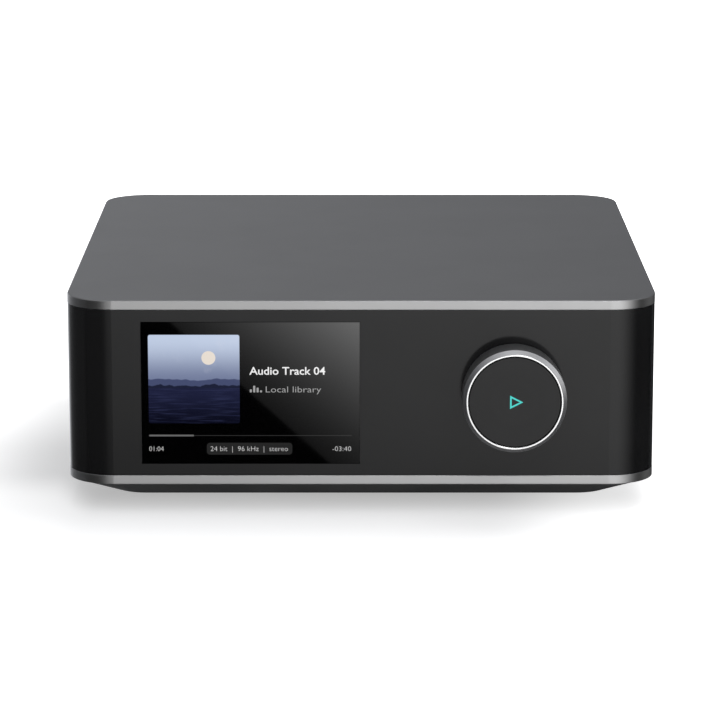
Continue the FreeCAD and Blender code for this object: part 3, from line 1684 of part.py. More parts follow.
def main():
    make_case_shell()
    make_base_pan()
    make_foot_ring()
    make_front_fascia()
    make_display()
    make_volume_knob()
    make_knob_trim_ring()
    make_play_button()
    make_play_icon_lens()
    make_encoder()
    make_front_board()
    make_screws()
    make_rear_panel()
    make_speaker_posts()
    make_rca_sockets()
    make_data_sockets()
    make_optical_socket()
    make_power_inlet()
    make_boards()
    make_main_board_parts()
    make_supply_parts()
    make_leads()
    doc.recompute()
    for thing in doc.Objects:
        check(thing)
    os.makedirs("parts", exist_ok=True)
    for thing in nodes:
        if thing.Shape.isNull() or not thing.Shape.isValid():
            raise ValueError("%s has no valid shape" % thing.Label)
        thing.Shape.exportStep("parts/%s.step" % thing.Label)
    print("%d pieces written" % len(nodes))


main()
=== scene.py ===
import math

import bmesh
import bpy
from mathutils import Matrix, Vector


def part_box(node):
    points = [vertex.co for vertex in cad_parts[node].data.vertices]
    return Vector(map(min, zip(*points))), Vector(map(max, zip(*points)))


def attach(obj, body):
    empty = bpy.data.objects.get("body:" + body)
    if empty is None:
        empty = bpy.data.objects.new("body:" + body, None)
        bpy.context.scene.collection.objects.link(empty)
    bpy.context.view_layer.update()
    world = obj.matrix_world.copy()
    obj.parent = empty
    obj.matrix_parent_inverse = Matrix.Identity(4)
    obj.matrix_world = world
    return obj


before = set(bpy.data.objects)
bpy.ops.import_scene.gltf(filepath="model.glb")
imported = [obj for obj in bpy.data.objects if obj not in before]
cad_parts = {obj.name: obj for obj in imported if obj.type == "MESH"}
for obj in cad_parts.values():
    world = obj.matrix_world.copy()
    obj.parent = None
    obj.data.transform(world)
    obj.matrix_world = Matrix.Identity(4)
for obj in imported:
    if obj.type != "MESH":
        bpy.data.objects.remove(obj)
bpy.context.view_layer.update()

# Streaming amplifier: finishes, the picture on the display, fine parts of the back, light and camera.
scene = bpy.context.scene
MM = 0.001

# Places read from the frame, in metres
lens_low, lens_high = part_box("display_lens")
knob_low, knob_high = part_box("volume_knob")
panel_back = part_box("rear_panel")[1].y
knob_centre = Vector((
    (knob_low.x + knob_high.x) / 2,
    0,
    (knob_low.z + knob_high.z) / 2,
))
lens_front = lens_low.y


def metres(*values):
    """Turns millimetres into metres."""
    return tuple(value * MM for value in values)


def radians(*turns):
    """Turns degrees into radians."""
    return tuple(math.radians(turn) for turn in turns)


def screen_colour(*tones):
    """Turns screen tones of 0 to 255 into an opaque colour with the light values that the shaders use."""
    values = []
    for tone in tones:
        share = tone / 255
        values.append(share / 12.92 if share <= 0.04045 else ((share + 0.055) / 1.055) ** 2.4)
    return (*values, 1.0)


# Places of the colour sockets in a mixing node: both inputs and the output
FIRST_COLOUR = 6
SECOND_COLOUR = 7
MIXED_COLOUR = 2


class Tree:
    """A short way to add nodes to a tree and to join them."""

    def __init__(self, tree):
        self.tree = tree

    def add(self, kind, **settings):
        node = self.tree.nodes.new(kind)
        for name, value in settings.items():
            setattr(node, name, value)
        return node

    def feed(self, value, socket):
        if isinstance(value, bpy.types.NodeSocket):
            self.tree.links.new(value, socket)
        else:
            socket.default_value = value

    def math(self, operation, *values):
        node = self.add("ShaderNodeMath", operation=operation)
        for value, socket in zip(values, node.inputs):
            self.feed(value, socket)
        return node.outputs[0]

    def mix(self, share, first, second):
        """Mixes two colours."""
        node = self.add("ShaderNodeMix", data_type="RGBA")
        self.feed(share, node.inputs[0])
        self.feed(first, node.inputs[FIRST_COLOUR])
        self.feed(second, node.inputs[SECOND_COLOUR])
        return node.outputs[MIXED_COLOUR]

    def ramp(self, kind, *values):
        """Maps a value from one range, low to high, to another, first to last."""
        node = self.add("ShaderNodeMapRange", interpolation_type=kind)
        for value, socket in zip(values, node.inputs):
            self.feed(value, socket)
        return node.outputs[0]

    def smooth(self, value, low, high, first=0.0, last=1.0):
        """A soft step that goes from first at low to last at high."""
        return self.ramp("SMOOTHSTEP", value, low, high, first, last)

    def product(self, first, *others):
        for value in others:
            first = self.math("MULTIPLY", first, value)
        return first

    def total(self, first, *others):
        for value in others:
            first = self.math("ADD", first, value)
        return first

    def inverse(self, value):
        return self.math("DIVIDE", 1.0, value)

    def between(self, value, low, high):
        return self.math("MAXIMUM", self.math("MINIMUM", value, high), low)

    def vector(self, operation, *values):
        """Gives both outputs: the vector as the first, and Value for a length or a product."""
        node = self.add("ShaderNodeVectorMath", operation=operation)
        for value, socket in zip(values, node.inputs):
            self.feed(value, socket)
        return node.outputs

    def split(self, vector):
        parts = self.add("ShaderNodeSeparateXYZ")
        self.feed(vector, parts.inputs[0])
        return parts.outputs

    def join(self, *values):
        line = self.add("ShaderNodeCombineXYZ")
        for value, socket in zip(values, line.inputs):
            self.feed(value, socket)
        return line.outputs[0]

    def noise(self, vector, scale, detail=2.0, roughness=0.5):
        node = self.add("ShaderNodeTexNoise")
        self.feed(vector, node.inputs["Vector"])
        self.feed(scale, node.inputs["Scale"])
        node.inputs["Detail"].default_value = detail
        node.inputs["Roughness"].default_value = roughness
        return node.outputs["Fac"]

    def fill(self, node, **values):
        """Feeds the inputs of a node by their names and gives its outputs."""
        for name, value in values.items():
            self.feed(value, node.inputs[name.replace("_", " ")])
        return node.outputs

    def group(self, shared, **values):
        return self.fill(self.add("ShaderNodeGroup", node_tree=shared), **values)


def new_group(name, inputs, outputs, tree_kind="ShaderNodeTree"):
    """Makes a node group with named sockets and gives its open ends."""
    shared = bpy.data.node_groups.new(name, tree_kind)
    for socket, kind, value in inputs:
        item = shared.interface.new_socket(socket, in_out="INPUT", socket_type=kind)
        if value is not None:
            item.default_value = value
    for socket, kind in outputs:
        shared.interface.new_socket(socket, in_out="OUTPUT", socket_type=kind)
    tree = Tree(shared)
    return shared, tree, tree.add("NodeGroupInput").outputs, tree.add("NodeGroupOutput").inputs


FLOAT = "NodeSocketFloat"
VECTOR = "NodeSocketVector"


def make_fine_grain():
    """Blasted, moulded or powdered grain: a height for the bump and a tone that drifts over the surface."""
    shared, tree, given, result = new_group(
        "fine_grain",
        [("Place", VECTOR, None), ("Grain Size", FLOAT, 0.0003), ("Drift Size", FLOAT, 0.03)],
        [("Height", FLOAT), ("Fleck", FLOAT), ("Drift", FLOAT)],
    )
    grain = tree.noise(given["Place"], tree.inverse(given["Grain Size"]), detail=3.0, roughness=0.6)
    drift = tree.noise(given["Place"], tree.inverse(given["Drift Size"]), detail=2.0, roughness=0.5)
    tree.feed(grain, result["Height"])
    tree.feed(tree.smooth(grain, 0.35, 0.65, first=-1.0, last=1.0), result["Fleck"])
    tree.feed(tree.smooth(drift, 0.3, 0.7, first=-1.0, last=1.0), result["Drift"])
    return shared


SPECKS_ACROSS_PATCH = 40.0


def make_handling():
    """Faint finger marks as patches, and dust as specks."""
    shared, tree, given, result = new_group(
        "handling_marks",
        [("Place", VECTOR, None), ("Patch Size", FLOAT, 0.02)],
        [("Smudge", FLOAT), ("Dust", FLOAT)],
    )
    scale = tree.inverse(given["Patch Size"])
    patch = tree.noise(given["Place"], scale, detail=4.0, roughness=0.62)
    specks = tree.noise(given["Place"], tree.product(scale, SPECKS_ACROSS_PATCH), detail=1.0, roughness=0.5)
    tree.feed(tree.smooth(patch, 0.52, 0.72), result["Smudge"])
    tree.feed(tree.smooth(specks, 0.76, 0.82), result["Dust"])
    return shared


def make_lathe_lines():
    """Turned lines round an axis that runs front to back, from the radius and the depth."""
    shared, tree, given, result = new_group(
        "lathe_lines",
        [("Place", VECTOR, None), ("Axis Place", VECTOR, None), ("Line Width", FLOAT, 0.0002)],
        [("Height", FLOAT), ("Tone", FLOAT)],
    )
    away = tree.vector("SUBTRACT", given["Place"], given["Axis Place"])[0]
    flat = tree.vector("MULTIPLY", away, (1, 0, 1))[0]
    radius = tree.vector("LENGTH", flat)["Value"]
    profile = tree.join(radius, tree.split(away)["Y"])
    lines = tree.noise(profile, tree.inverse(given["Line Width"]), detail=2.0, roughness=0.7)
    tree.feed(lines, result["Height"])
    tree.feed(tree.smooth(lines, 0.3, 0.7, first=-1.0, last=1.0), result["Tone"])
    return shared


def make_edge_wear():
    """Worn and rounded edges: a mask that is strong where the rounded normal leaves the true one."""
    shared, tree, given, result = new_group(
        "edge_wear",
        [("Place", VECTOR, None), ("Radius", FLOAT, 0.0004), ("Patch Size", FLOAT, 0.006)],
        [("Edge", FLOAT), ("Normal", VECTOR)],
    )
    rounded = tree.add("ShaderNodeBevel", samples=4)
    tree.feed(given["Radius"], rounded.inputs["Radius"])
    true_side = tree.add("ShaderNodeNewGeometry")
    closeness = tree.vector("DOT_PRODUCT", rounded.outputs[0], true_side.outputs["Normal"])["Value"]
    edge = tree.smooth(closeness, 0.985, 0.80)
    patch = tree.noise(given["Place"], tree.inverse(given["Patch Size"]), detail=3.0, roughness=0.6)
    tree.feed(tree.product(edge, tree.smooth(patch, 0.3, 0.65, first=0.35, last=1.0)), result["Edge"])
    tree.feed(rounded.outputs[0], result["Normal"])
    return shared


fine_grain = make_fine_grain()
handling = make_handling()
lathe_lines = make_lathe_lines()
edge_wear = make_edge_wear()


def start_material(name):
    material = bpy.data.materials.new(name)
    material.use_nodes = True
    tree = Tree(material.node_tree)
    shader = material.node_tree.nodes["Principled BSDF"]
    place = tree.add("ShaderNodeTexCoord").outputs["Object"]
    return material, tree, shader, place


# How far the shared effects change a finish, as shares of its own values
FLECK_SHARE = 0.06
LATHE_SHARE = 0.12
WORN_SHARE = 1.8
GLOW_SHARES = (0.94, 1.04)
DUST_COLOUR = (0.3, 0.29, 0.28, 1)

# The cover glass, also under the lit layers of the display
GLASS_COLOUR = (0.0008, 0.0008, 0.0009, 1)
GLASS_ROUGHNESS = 0.025
GLASS_BUMP = 0.00000005
GLASS_SMUDGE = 0.012


def shade(tone, share):
    """A colour made lighter or darker by a share of itself."""
    return tuple(min(1.0, max(0.0, value * share)) for value in tone[:3]) + (1.0,)


def surface(name, colour, roughness, metallic=0.0, ior=1.5, grain=0.0003, bump=0.00001, drift=0.05,
            smudge=0.04, dust=0.0, wear=0.0, wear_colour=None, turned=None, coat=0.0, glow=None):
    """Makes a finish from its colour and the shared effects, each with its own strength."""
    material, tree, shader, place = start_material(name)
    grains = tree.group(fine_grain, Place=place, Grain_Size=grain)
    marks = tree.group(handling, Place=place)
    tone = tree.smooth(grains["Drift"], -1.0, 1.0)
    body = tree.mix(tone, shade(colour, 1 - drift), shade(colour, 1 + drift))
    height = grains["Height"]
    rough = tree.math("MULTIPLY_ADD", grains["Fleck"], roughness * FLECK_SHARE, roughness)
    rough = tree.math("MULTIPLY_ADD", marks["Smudge"], smudge, rough)
    if turned:
        lines = tree.group(lathe_lines, Place=place, Axis_Place=knob_centre, Line_Width=turned)
        height = lines["Height"]
        rough = tree.math("MULTIPLY_ADD", lines["Tone"], roughness * LATHE_SHARE, rough)
    if dust:
        body = tree.mix(tree.product(marks["Dust"], dust), body, DUST_COLOUR)
    bumped = tree.add("ShaderNodeBump")
    bumped.inputs["Distance"].default_value = bump
    tree.feed(height, bumped.inputs["Height"])
    if wear:
        edges = tree.group(edge_wear, Place=place)
        worn = wear_colour or shade(colour, WORN_SHARE)
        body = tree.mix(tree.product(edges["Edge"], wear), body, worn)
        tree.feed(edges["Normal"], bumped.inputs["Normal"])
    tree.feed(body, shader.inputs["Base Color"])
    tree.feed(rough, shader.inputs["Roughness"])
    tree.feed(bumped.outputs[0], shader.inputs["Normal"])
    shader.inputs["Metallic"].default_value = metallic
    shader.inputs["IOR"].default_value = ior
    shader.inputs["Coat Weight"].default_value = coat
    if glow:
        strength, light = glow
        flecks = tree.smooth(grains["Fleck"], -1.0, 1.0)
        flecked = tree.mix(flecks, *(shade(light, share) for share in GLOW_SHARES))
        tree.feed(flecked, shader.inputs["Emission Color"])
        shader.inputs["Emission Strength"].default_value = strength
    return material


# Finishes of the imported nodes, one for each slot of the record
finishes = {
    "anodised_case": surface(
        "blasted_aluminium", (0.455, 0.455, 0.457), 0.36, metallic=1.0, grain=0.00022, bump=0.000004,
        drift=0.015, smudge=0.015, wear=0.5, wear_colour=(0.62, 0.62, 0.63, 1)),
    "dark_base": surface(
        "powdered_base", (0.038, 0.038, 0.0385), 0.48, grain=0.0006, bump=0.00003, drift=0.12, wear=0.3,
        wear_colour=(0.05, 0.05, 0.05, 1)),
    "foot_rubber": surface(
        "ribbed_rubber", (0.016, 0.016, 0.016), 0.78, grain=0.0005, bump=0.00004, drift=0.15, dust=0.3),
    "black_fascia": surface(
        "satin_black_front", (0.0075, 0.0075, 0.0078), 0.11, ior=1.325, grain=0.00016, bump=0.0000003,
        drift=0.1, smudge=0.02),
    "rear_black": surface(
        "textured_rear_black", (0.020, 0.020, 0.021), 0.5, grain=0.00045, bump=0.00002, drift=0.12,
        wear=0.25, wear_colour=(0.06, 0.06, 0.06, 1)),
    "display_glass": surface(
        "display_cover_glass", GLASS_COLOUR, GLASS_ROUGHNESS, grain=0.002, bump=GLASS_BUMP, drift=0.0,
        smudge=GLASS_SMUDGE),
    "display_panel": surface(
        "display_layers", (0.03, 0.035, 0.04), 0.3, grain=0.0001, bump=0.000001, drift=0.05),
    "steel": surface(
        "zinc_plated_steel", (0.55, 0.55, 0.53), 0.34, metallic=1.0, grain=0.0008, bump=0.000006, drift=0.1),
    "socket_steel": surface(
        "nickel_socket_shell", (0.60, 0.58, 0.54), 0.26, metallic=1.0, grain=0.0006, bump=0.000003,
        drift=0.06, wear=0.3, wear_colour=(0.8, 0.78, 0.74, 1)),
    "amber_film": surface(
        "amber_film_lead", (0.42, 0.17, 0.03), 0.28, grain=0.0005, bump=0.000002, drift=0.08),
    "knob_dark": surface(
        "turned_dark_aluminium", (0.215, 0.216, 0.222), 0.36, metallic=0.86, drift=0.03, smudge=0.02,
        turned=0.00016, bump=0.0000015),
    "bright_trim": surface(
        "bright_cut_ring", (0.86, 0.86, 0.86), 0.24, metallic=1.0, drift=0.02, smudge=0.01,
        turned=0.0001, bump=0.000001),
    "button_dark": surface(
        "satin_black_button", (0.0075, 0.0075, 0.0078), 0.22, ior=1.345, drift=0.1, smudge=0.02,
        turned=0.0002, bump=0.0000005),
    "icon_light": surface(
        "lit_symbol", (0.02, 0.12, 0.11), 0.35, grain=0.0003, bump=0.000002, drift=0.05,
        glow=(0.8, screen_colour(54, 212, 204))),
    "clear_guide": surface(
        "clear_light_guide", (0.75, 0.80, 0.80), 0.12, grain=0.001, bump=0.000001, drift=0.03, coat=0.4),
    "white_plastic": surface(
        "white_moulding", (0.62, 0.61, 0.58), 0.42, grain=0.0004, bump=0.000006, drift=0.04),
    "black_plastic": surface(
        "black_moulding", (0.018, 0.018, 0.019), 0.38, grain=0.0003, bump=0.000008, drift=0.12, wear=0.25,
        wear_colour=(0.05, 0.05, 0.05, 1)),
    "dark_screw": surface(
        "blackened_screw_steel", (0.06, 0.06, 0.062), 0.34, metallic=0.85, grain=0.0004, bump=0.000006,
        drift=0.15, wear=0.6, wear_colour=(0.30, 0.29, 0.28, 1)),
    "circuit_board": surface(
        "solder_mask", (0.008, 0.045, 0.022), 0.32, grain=0.0012, bump=0.000006, drift=0.2, coat=0.3),
    "supply_card": surface(
        "supply_card", (0.30, 0.21, 0.10), 0.5, grain=0.0008, bump=0.00001, drift=0.12),
    "brass": surface(
        "gilt_brass", (0.86, 0.62, 0.27), 0.24, metallic=1.0, grain=0.0005, bump=0.000003, drift=0.06,
        smudge=0.08, wear=0.3, wear_colour=(0.96, 0.80, 0.50, 1)),
    "cap_black": surface(
        "black_cap_moulding", (0.012, 0.012, 0.013), 0.28, grain=0.0004, bump=0.000004, drift=0.1, coat=0.25,
        wear=0.2, wear_colour=(0.04, 0.04, 0.04, 1)),
    "cap_red": surface(
        "red_cap_moulding", (0.36, 0.012, 0.010), 0.26, grain=0.0004, bump=0.000004, drift=0.08, coat=0.25,
        wear=0.2, wear_colour=(0.55, 0.05, 0.04, 1)),
    "rca_core": surface(
        "sound_socket_core", (0.020, 0.020, 0.021), 0.4, grain=0.0004, bump=0.000008, drift=0.1),
    "shutter_grey": surface(
        "grey_shutter_moulding", (0.13, 0.13, 0.135), 0.42, grain=0.0003, bump=0.000006, drift=0.06),
    "heat_sink_metal": surface(
        "black_heat_sink", (0.05, 0.05, 0.052), 0.4, metallic=0.8, grain=0.0005, bump=0.000008, drift=0.1),
    "ferrite": surface(
        "ferrite_grey", (0.045, 0.045, 0.047), 0.55, grain=0.0006, bump=0.00002, drift=0.15),
    "capacitor_sleeve": surface(
        "capacitor_sleeve", (0.02, 0.025, 0.06), 0.3, grain=0.0008, bump=0.000004, drift=0.1, coat=0.2),
}
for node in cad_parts.values():
    for held in node.material_slots:
        held.material = finishes[held.material.name.split(".")[0]]


def to_object(name, mesh, material, body):
    """Links a finished mesh as a piece that rides on a body."""
    piece = bpy.data.objects.new(name, mesh)
    scene.collection.objects.link(piece)
    piece.data.materials.clear()
    piece.data.materials.append(material)
    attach(piece, body)
    return piece


def end_mesh(shape, name):
    """Turns a finished bmesh into a mesh."""
    mesh = bpy.data.meshes.new(name)
    shape.to_mesh(mesh)
    shape.free()
    return mesh


def rounded_outline(left, right, bottom, top, corner, steps=6):
    """The points of a rectangle with round corners, as pairs."""
    points = []
    for centre_x, centre_z, start in (
        (right - corner, top - corner, 0),
        (left + corner, top - corner, 90),
        (left + corner, bottom + corner, 180),
        (right - corner, bottom + corner, 270),
    ):
        for step in range(steps + 1):
            angle = math.radians(start + 90 * step / steps)
            points.append((centre_x + corner * math.cos(angle), centre_z + corner * math.sin(angle)))
    return points


def plate_mesh(name, points, front, thickness):
    """A thin plate in the plane of the front, from its outline."""
    shape = bmesh.new()
    corners = [shape.verts.new((x, front, z)) for x, z in points]
    face = shape.faces.new(corners)
    grown = bmesh.ops.extrude_face_region(shape, geom=[face])
    moved = [item for item in grown["geom"] if isinstance(item, bmesh.types.BMVert)]
    bmesh.ops.translate(shape, verts=moved, vec=(0, thickness, 0))
    bmesh.ops.recalc_face_normals(shape, faces=shape.faces)
    return end_mesh(shape, name)


# Height of a capital as a share of the font's size, and steps in each curve of a letter
CAPITAL_SHARE = 0.73
LETTER_STEPS = 3


def text_mesh(name, words, height, weight, thickness):
    """Words as an upright mesh that faces the front, starts at the origin and has capitals of this height."""
    curve = bpy.data.curves.new(name, "FONT")
    curve.body = words
    curve.size = height / CAPITAL_SHARE
    curve.offset = weight * curve.size
    curve.extrude = thickness / 2
    curve.resolution_u = LETTER_STEPS
    holder = bpy.data.objects.new(name, curve)
    scene.collection.objects.link(holder)
    mesh = bpy.data.meshes.new_from_object(holder.evaluated_get(bpy.context.evaluated_depsgraph_get()))
    bpy.data.objects.remove(holder)
    mesh.transform(Matrix.Rotation(math.radians(90), 4, "X"))
    return mesh


# The picture on the display. All of it is drawn on the cover glass, in thin lit layers.
LAYER = 0.03 * MM
ART_THICKNESS = 0.02 * MM
screen_pieces = [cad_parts["display_lens"]]


def lit(name, colour):
    """A lit colour under the same gloss as the cover glass."""
    return surface(
        name, GLASS_COLOUR, GLASS_ROUGHNESS, grain=0.0002, bump=GLASS_BUMP, drift=0.0, smudge=GLASS_SMUDGE,
        glow=(1.0, colour))


# The cover picture, in shares of its width and height. The sun's edge fades between two squared distances
# from its middle. Each ridge has a height, a swing, a scale and its tones.
COVER_STRENGTH = 0.95
SKY_TONES = ((116, 126, 158), (196, 209, 232))
CLOUD_COLOUR = screen_colour(214, 218, 232)
RIDGES = ((0.5, 0.16, 2.6, (70, 78, 112)), (0.43, 0.13, 5.0, (30, 34, 56)))
RIDGE_BLUR = 0.006
SHORE_FADE = (0.405, 0.395)
NEAR_LAKE = screen_colour(10, 12, 28)
FAR_LAKE = screen_colour(30, 33, 60)
WAVE_COLOUR = screen_colour(52, 57, 92)
SUN_ACROSS = 0.66
SUN_UP = 0.74
SUN_FADE = (0.0062, 0.0056)
SUN_COLOUR = screen_colour(236, 226, 214)


def cover_picture(left, right, bottom, top):
    """A made-up evening landscape for the cover: sky, two ridges, a still lake and a low sun."""
    material, tree, shader, place = start_material("cover_picture")
    marks = tree.group(handling, Place=place)
    centred = tree.add("ShaderNodeMapping", vector_type="TEXTURE")
    centred.inputs["Location"].default_value = metres(left, 0, bottom)
    centred.inputs["Scale"].default_value = ((right - left) * MM, 1, (top - bottom) * MM)
    tree.feed(place, centred.inputs["Vector"])
    across, _, up = tree.split(centred.outputs[0])
    sky = tree.add("ShaderNodeValToRGB")
    for stop, tones in zip(sky.color_ramp.elements, SKY_TONES):
        stop.color = screen_colour(*tones)
    tree.feed(tree.smooth(up, 0.46, 0.98), sky.inputs[0])
    cloud = tree.noise(centred.outputs[0], 3.0, detail=4.0, roughness=0.55)
    picture = tree.mix(tree.smooth(cloud, 0.55, 0.8, first=0.0, last=0.35), sky.outputs[0], CLOUD_COLOUR)
    for level, swing, scale, tones in RIDGES:
        hills = tree.noise(tree.join(across, scale), scale, detail=3.0, roughness=0.55)
        ridge = tree.math("MULTIPLY_ADD", hills, swing, level - swing / 2)
        inside = tree.smooth(tree.math("SUBTRACT", ridge, up), -RIDGE_BLUR, RIDGE_BLUR)
        picture = tree.mix(inside, picture, screen_colour(*tones))
    ripples = tree.noise(tree.join(tree.product(across, 1.5), tree.product(up, 26.0)), 2.0, detail=2.0)
    waves = tree.smooth(ripples, 0.45, 0.75, first=0.0, last=0.5)
    lake = tree.mix(tree.smooth(up, 0.0, 0.4), NEAR_LAKE, FAR_LAKE)
    lake = tree.mix(waves, lake, WAVE_COLOUR)
    picture = tree.mix(tree.smooth(up, *SHORE_FADE), picture, lake)
    sun_away = tree.total(
        tree.math("POWER", tree.math("SUBTRACT", across, SUN_ACROSS), 2.0),
        tree.math("POWER", tree.math("SUBTRACT", up, SUN_UP), 2.0),
    )
    picture = tree.mix(tree.smooth(sun_away, *SUN_FADE), picture, SUN_COLOUR)
    tree.feed(picture, shader.inputs["Emission Color"])
    rough = tree.math("MULTIPLY_ADD", marks["Smudge"], GLASS_SMUDGE, GLASS_ROUGHNESS)
    tree.feed(rough, shader.inputs["Roughness"])
    shader.inputs["Base Color"].default_value = GLASS_COLOUR
    shader.inputs["Emission Strength"].default_value = COVER_STRENGTH
    return material


def add_screen_plate(name, left, right, bottom, top, corner, material, layer=1):
    """Lays a thin lit plate on the glass, from its sides in millimetres."""
    front = lens_front - layer * LAYER
    outline = rounded_outline(left * MM, right * MM, bottom * MM, top * MM, corner * MM)
    mesh = plate_mesh(name, outline, front, ART_THICKNESS)
    screen_pieces.append(to_object(name, mesh, material, "case"))


def add_screen_text(name, words, material, height, left, base, width, weight, layer=1):
    """Writes words on the glass, drawn out to their width, with the baseline at base, all in millimetres."""
    mesh = text_mesh(name, words, height * MM, weight, ART_THICKNESS)
    ends = [corner.co.x for corner in mesh.vertices]
    stretch = width * MM / (max(ends) - min(ends))
    mesh.transform(Matrix.Diagonal((stretch, 1, 1, 1)) @ Matrix.Translation((-min(ends), 0, 0)))
    mesh.transform(Matrix.Translation((left * MM, lens_front - layer * LAYER, base * MM)))
    screen_pieces.append(to_object(name, mesh, material, "case"))


title_white = lit("title_white", screen_colour(238, 238, 238))
line_grey = lit("line_grey", screen_colour(160, 160, 160))
small_white = lit("small_white", screen_colour(205, 205, 205))
pill_grey = lit("pill_grey", screen_colour(38, 38, 38))
bar_bright = lit("bar_bright", screen_colour(104, 104, 104))
bar_faint = lit("bar_faint", screen_colour(42, 42, 42))

# Places on the display in millimetres, across from the middle of the case and up from the floor
BOLD = 0.012
THIN = -0.014
COVER = (-71.8, -41.0, 30.7, 61.3)
SECOND_BASE = 41.45
SMALL_BASE = 21.05
PROGRESS = -56.6
ART_LEFT = COVER[0]
BAR_SHARES = (0.45, 1.0, 0.7, 0.3)
BARS_LEFT = -37.6
BAR_STEP = 1.15
BAR_WIDTH = 0.7
BAR_HEIGHT = 2.3

add_screen_plate("cover_art", *COVER, corner=0.7, material=cover_picture(*COVER))
add_screen_text(
    "title_line", "Audio Track 04", title_white,
    height=2.75, left=-37.7, base=47.6, width=25.6, weight=BOLD)
add_screen_text(
    "second_line", "Local library", line_grey,
    height=2.2, left=-32.2, base=SECOND_BASE, width=18.7, weight=THIN / 2)
for index, share in enumerate(BAR_SHARES):
    bar_left = BARS_LEFT + index * BAR_STEP
    add_screen_plate(
        f"source_symbol_{index + 1}", left=bar_left, right=bar_left + BAR_WIDTH, bottom=SECOND_BASE,
        top=SECOND_BASE + BAR_HEIGHT * share, corner=0.2, material=line_grey)
add_screen_plate(
    "progress_rest", left=PROGRESS, right=-3.2, bottom=26.32, top=26.6, corner=0.1, material=bar_faint)
add_screen_plate(
    "progress_done", left=ART_LEFT, right=PROGRESS, bottom=26.18, top=26.76, corner=0.25,
    material=bar_bright)
add_screen_text(
    "time_played", "01:04", small_white,
    height=1.75, left=ART_LEFT, base=SMALL_BASE, width=4.9, weight=THIN)
add_screen_text(
    "time_left", "-03:40", small_white,
    height=1.75, left=-9.7, base=SMALL_BASE, width=6.3, weight=THIN)
add_screen_plate(
    "format_field", left=-52.3, right=-23.3, bottom=19.8, top=23.95, corner=1.1, material=pill_grey)
add_screen_text(
    "format_line", "24 bit  |  96 kHz  |  stereo", small_white,
    height=1.8, left=-51.0, base=SMALL_BASE, width=26.2, weight=THIN, layer=2)


# Fine parts of the back. Rows and rings that repeat are grown by node trees, then kept as plain meshes.
COUNT = "NodeSocketInt"
FINISH = "NodeSocketMaterial"
GROWTH_RESULT = [("Geometry", "NodeSocketGeometry")]


def end_growth(tree, shape, material, result):
    """Turns the copies into one mesh and gives it the finish."""
    real = tree.fill(tree.add("GeometryNodeRealizeInstances"), Geometry=shape)
    painted = tree.fill(tree.add("GeometryNodeSetMaterial"), Geometry=real[0], Material=material)
    tree.feed(painted[0], result["Geometry"])


def make_bar_row():
    """A row of equal bars from a first place, a step and a tilt about the row's long axis."""
    shared, tree, given, result = new_group(
        "bar_row",
        [
            ("Count", COUNT, 8), ("First Place", VECTOR, None), ("Step", VECTOR, None),
            ("Bar Size", VECTOR, None), ("Tilt", FLOAT, 0.0), ("Finish", FINISH, None),
        ],
        GROWTH_RESULT,
        "GeometryNodeTree",
    )
    row = tree.fill(
        tree.add("GeometryNodeMeshLine"),
        Count=given["Count"], Start_Location=given["First Place"], Offset=given["Step"])
    bar = tree.fill(tree.add("GeometryNodeMeshCube"), Size=given["Bar Size"])
    copies = tree.fill(
        tree.add("GeometryNodeInstanceOnPoints"),
        Points=row[0], Instance=bar[0], Rotation=tree.join(given["Tilt"]))
    end_growth(tree, copies[0], given["Finish"], result)
    return shared


def make_rib_ring():
    """A ring of equal ribs round an axis that runs front to back."""
    shared, tree, given, result = new_group(
        "rib_ring",
        [
            ("Count", COUNT, 24), ("Centre", VECTOR, None), ("Ring Radius", FLOAT, 0.005),
            ("Rib Size", VECTOR, None), ("Finish", FINISH, None),
        ],
        GROWTH_RESULT,
        "GeometryNodeTree",
    )
    ring = tree.fill(
        tree.add("GeometryNodeMeshCircle"), Vertices=given["Count"], Radius=given["Ring Radius"])
    place = tree.add("GeometryNodeInputPosition").outputs[0]
    outwards = tree.fill(tree.add("FunctionNodeAlignRotationToVector", axis="X"), Vector=place)
    rib = tree.fill(tree.add("GeometryNodeMeshCube"), Size=given["Rib Size"])
    copies = tree.fill(
        tree.add("GeometryNodeInstanceOnPoints"), Points=ring[0], Instance=rib[0], Rotation=outwards[0])
    stood = tree.fill(
        tree.add("GeometryNodeTransform"),
        Geometry=copies[0], Translation=given["Centre"], Rotation=radians(90, 0, 0))
    end_growth(tree, stood[0], given["Finish"], result)
    return shared


def grow(name, shared, values, material, body):
    """Runs a node tree with these values and keeps the result as a plain mesh on a body."""
    holder = bpy.data.objects.new(name + "_seed", bpy.data.meshes.new(name + "_seed"))
    scene.collection.objects.link(holder)
    growth = holder.modifiers.new("growth", "NODES")
    growth.node_group = shared
    values = dict(values, Finish=material)
    for item in shared.interface.items_tree:
        if item.in_out == "INPUT":
            growth[item.identifier] = values[item.name]
    seen = holder.evaluated_get(bpy.context.evaluated_depsgraph_get())
    mesh = bpy.data.meshes.new_from_object(seen)
    holder.modifiers.remove(growth)
    bpy.data.objects.remove(holder)
    return to_object(name, mesh, material, body)


bar_row = make_bar_row()
rib_ring = make_rib_ring()
contact_gold = surface("contact_gold", (0.83, 0.60, 0.24), 0.22, metallic=1.0, grain=0.0003, bump=0.000002)
mark_white = surface("mark_white", (0.62, 0.62, 0.62), 0.5, grain=0.0002, bump=0.000004, drift=0.06)

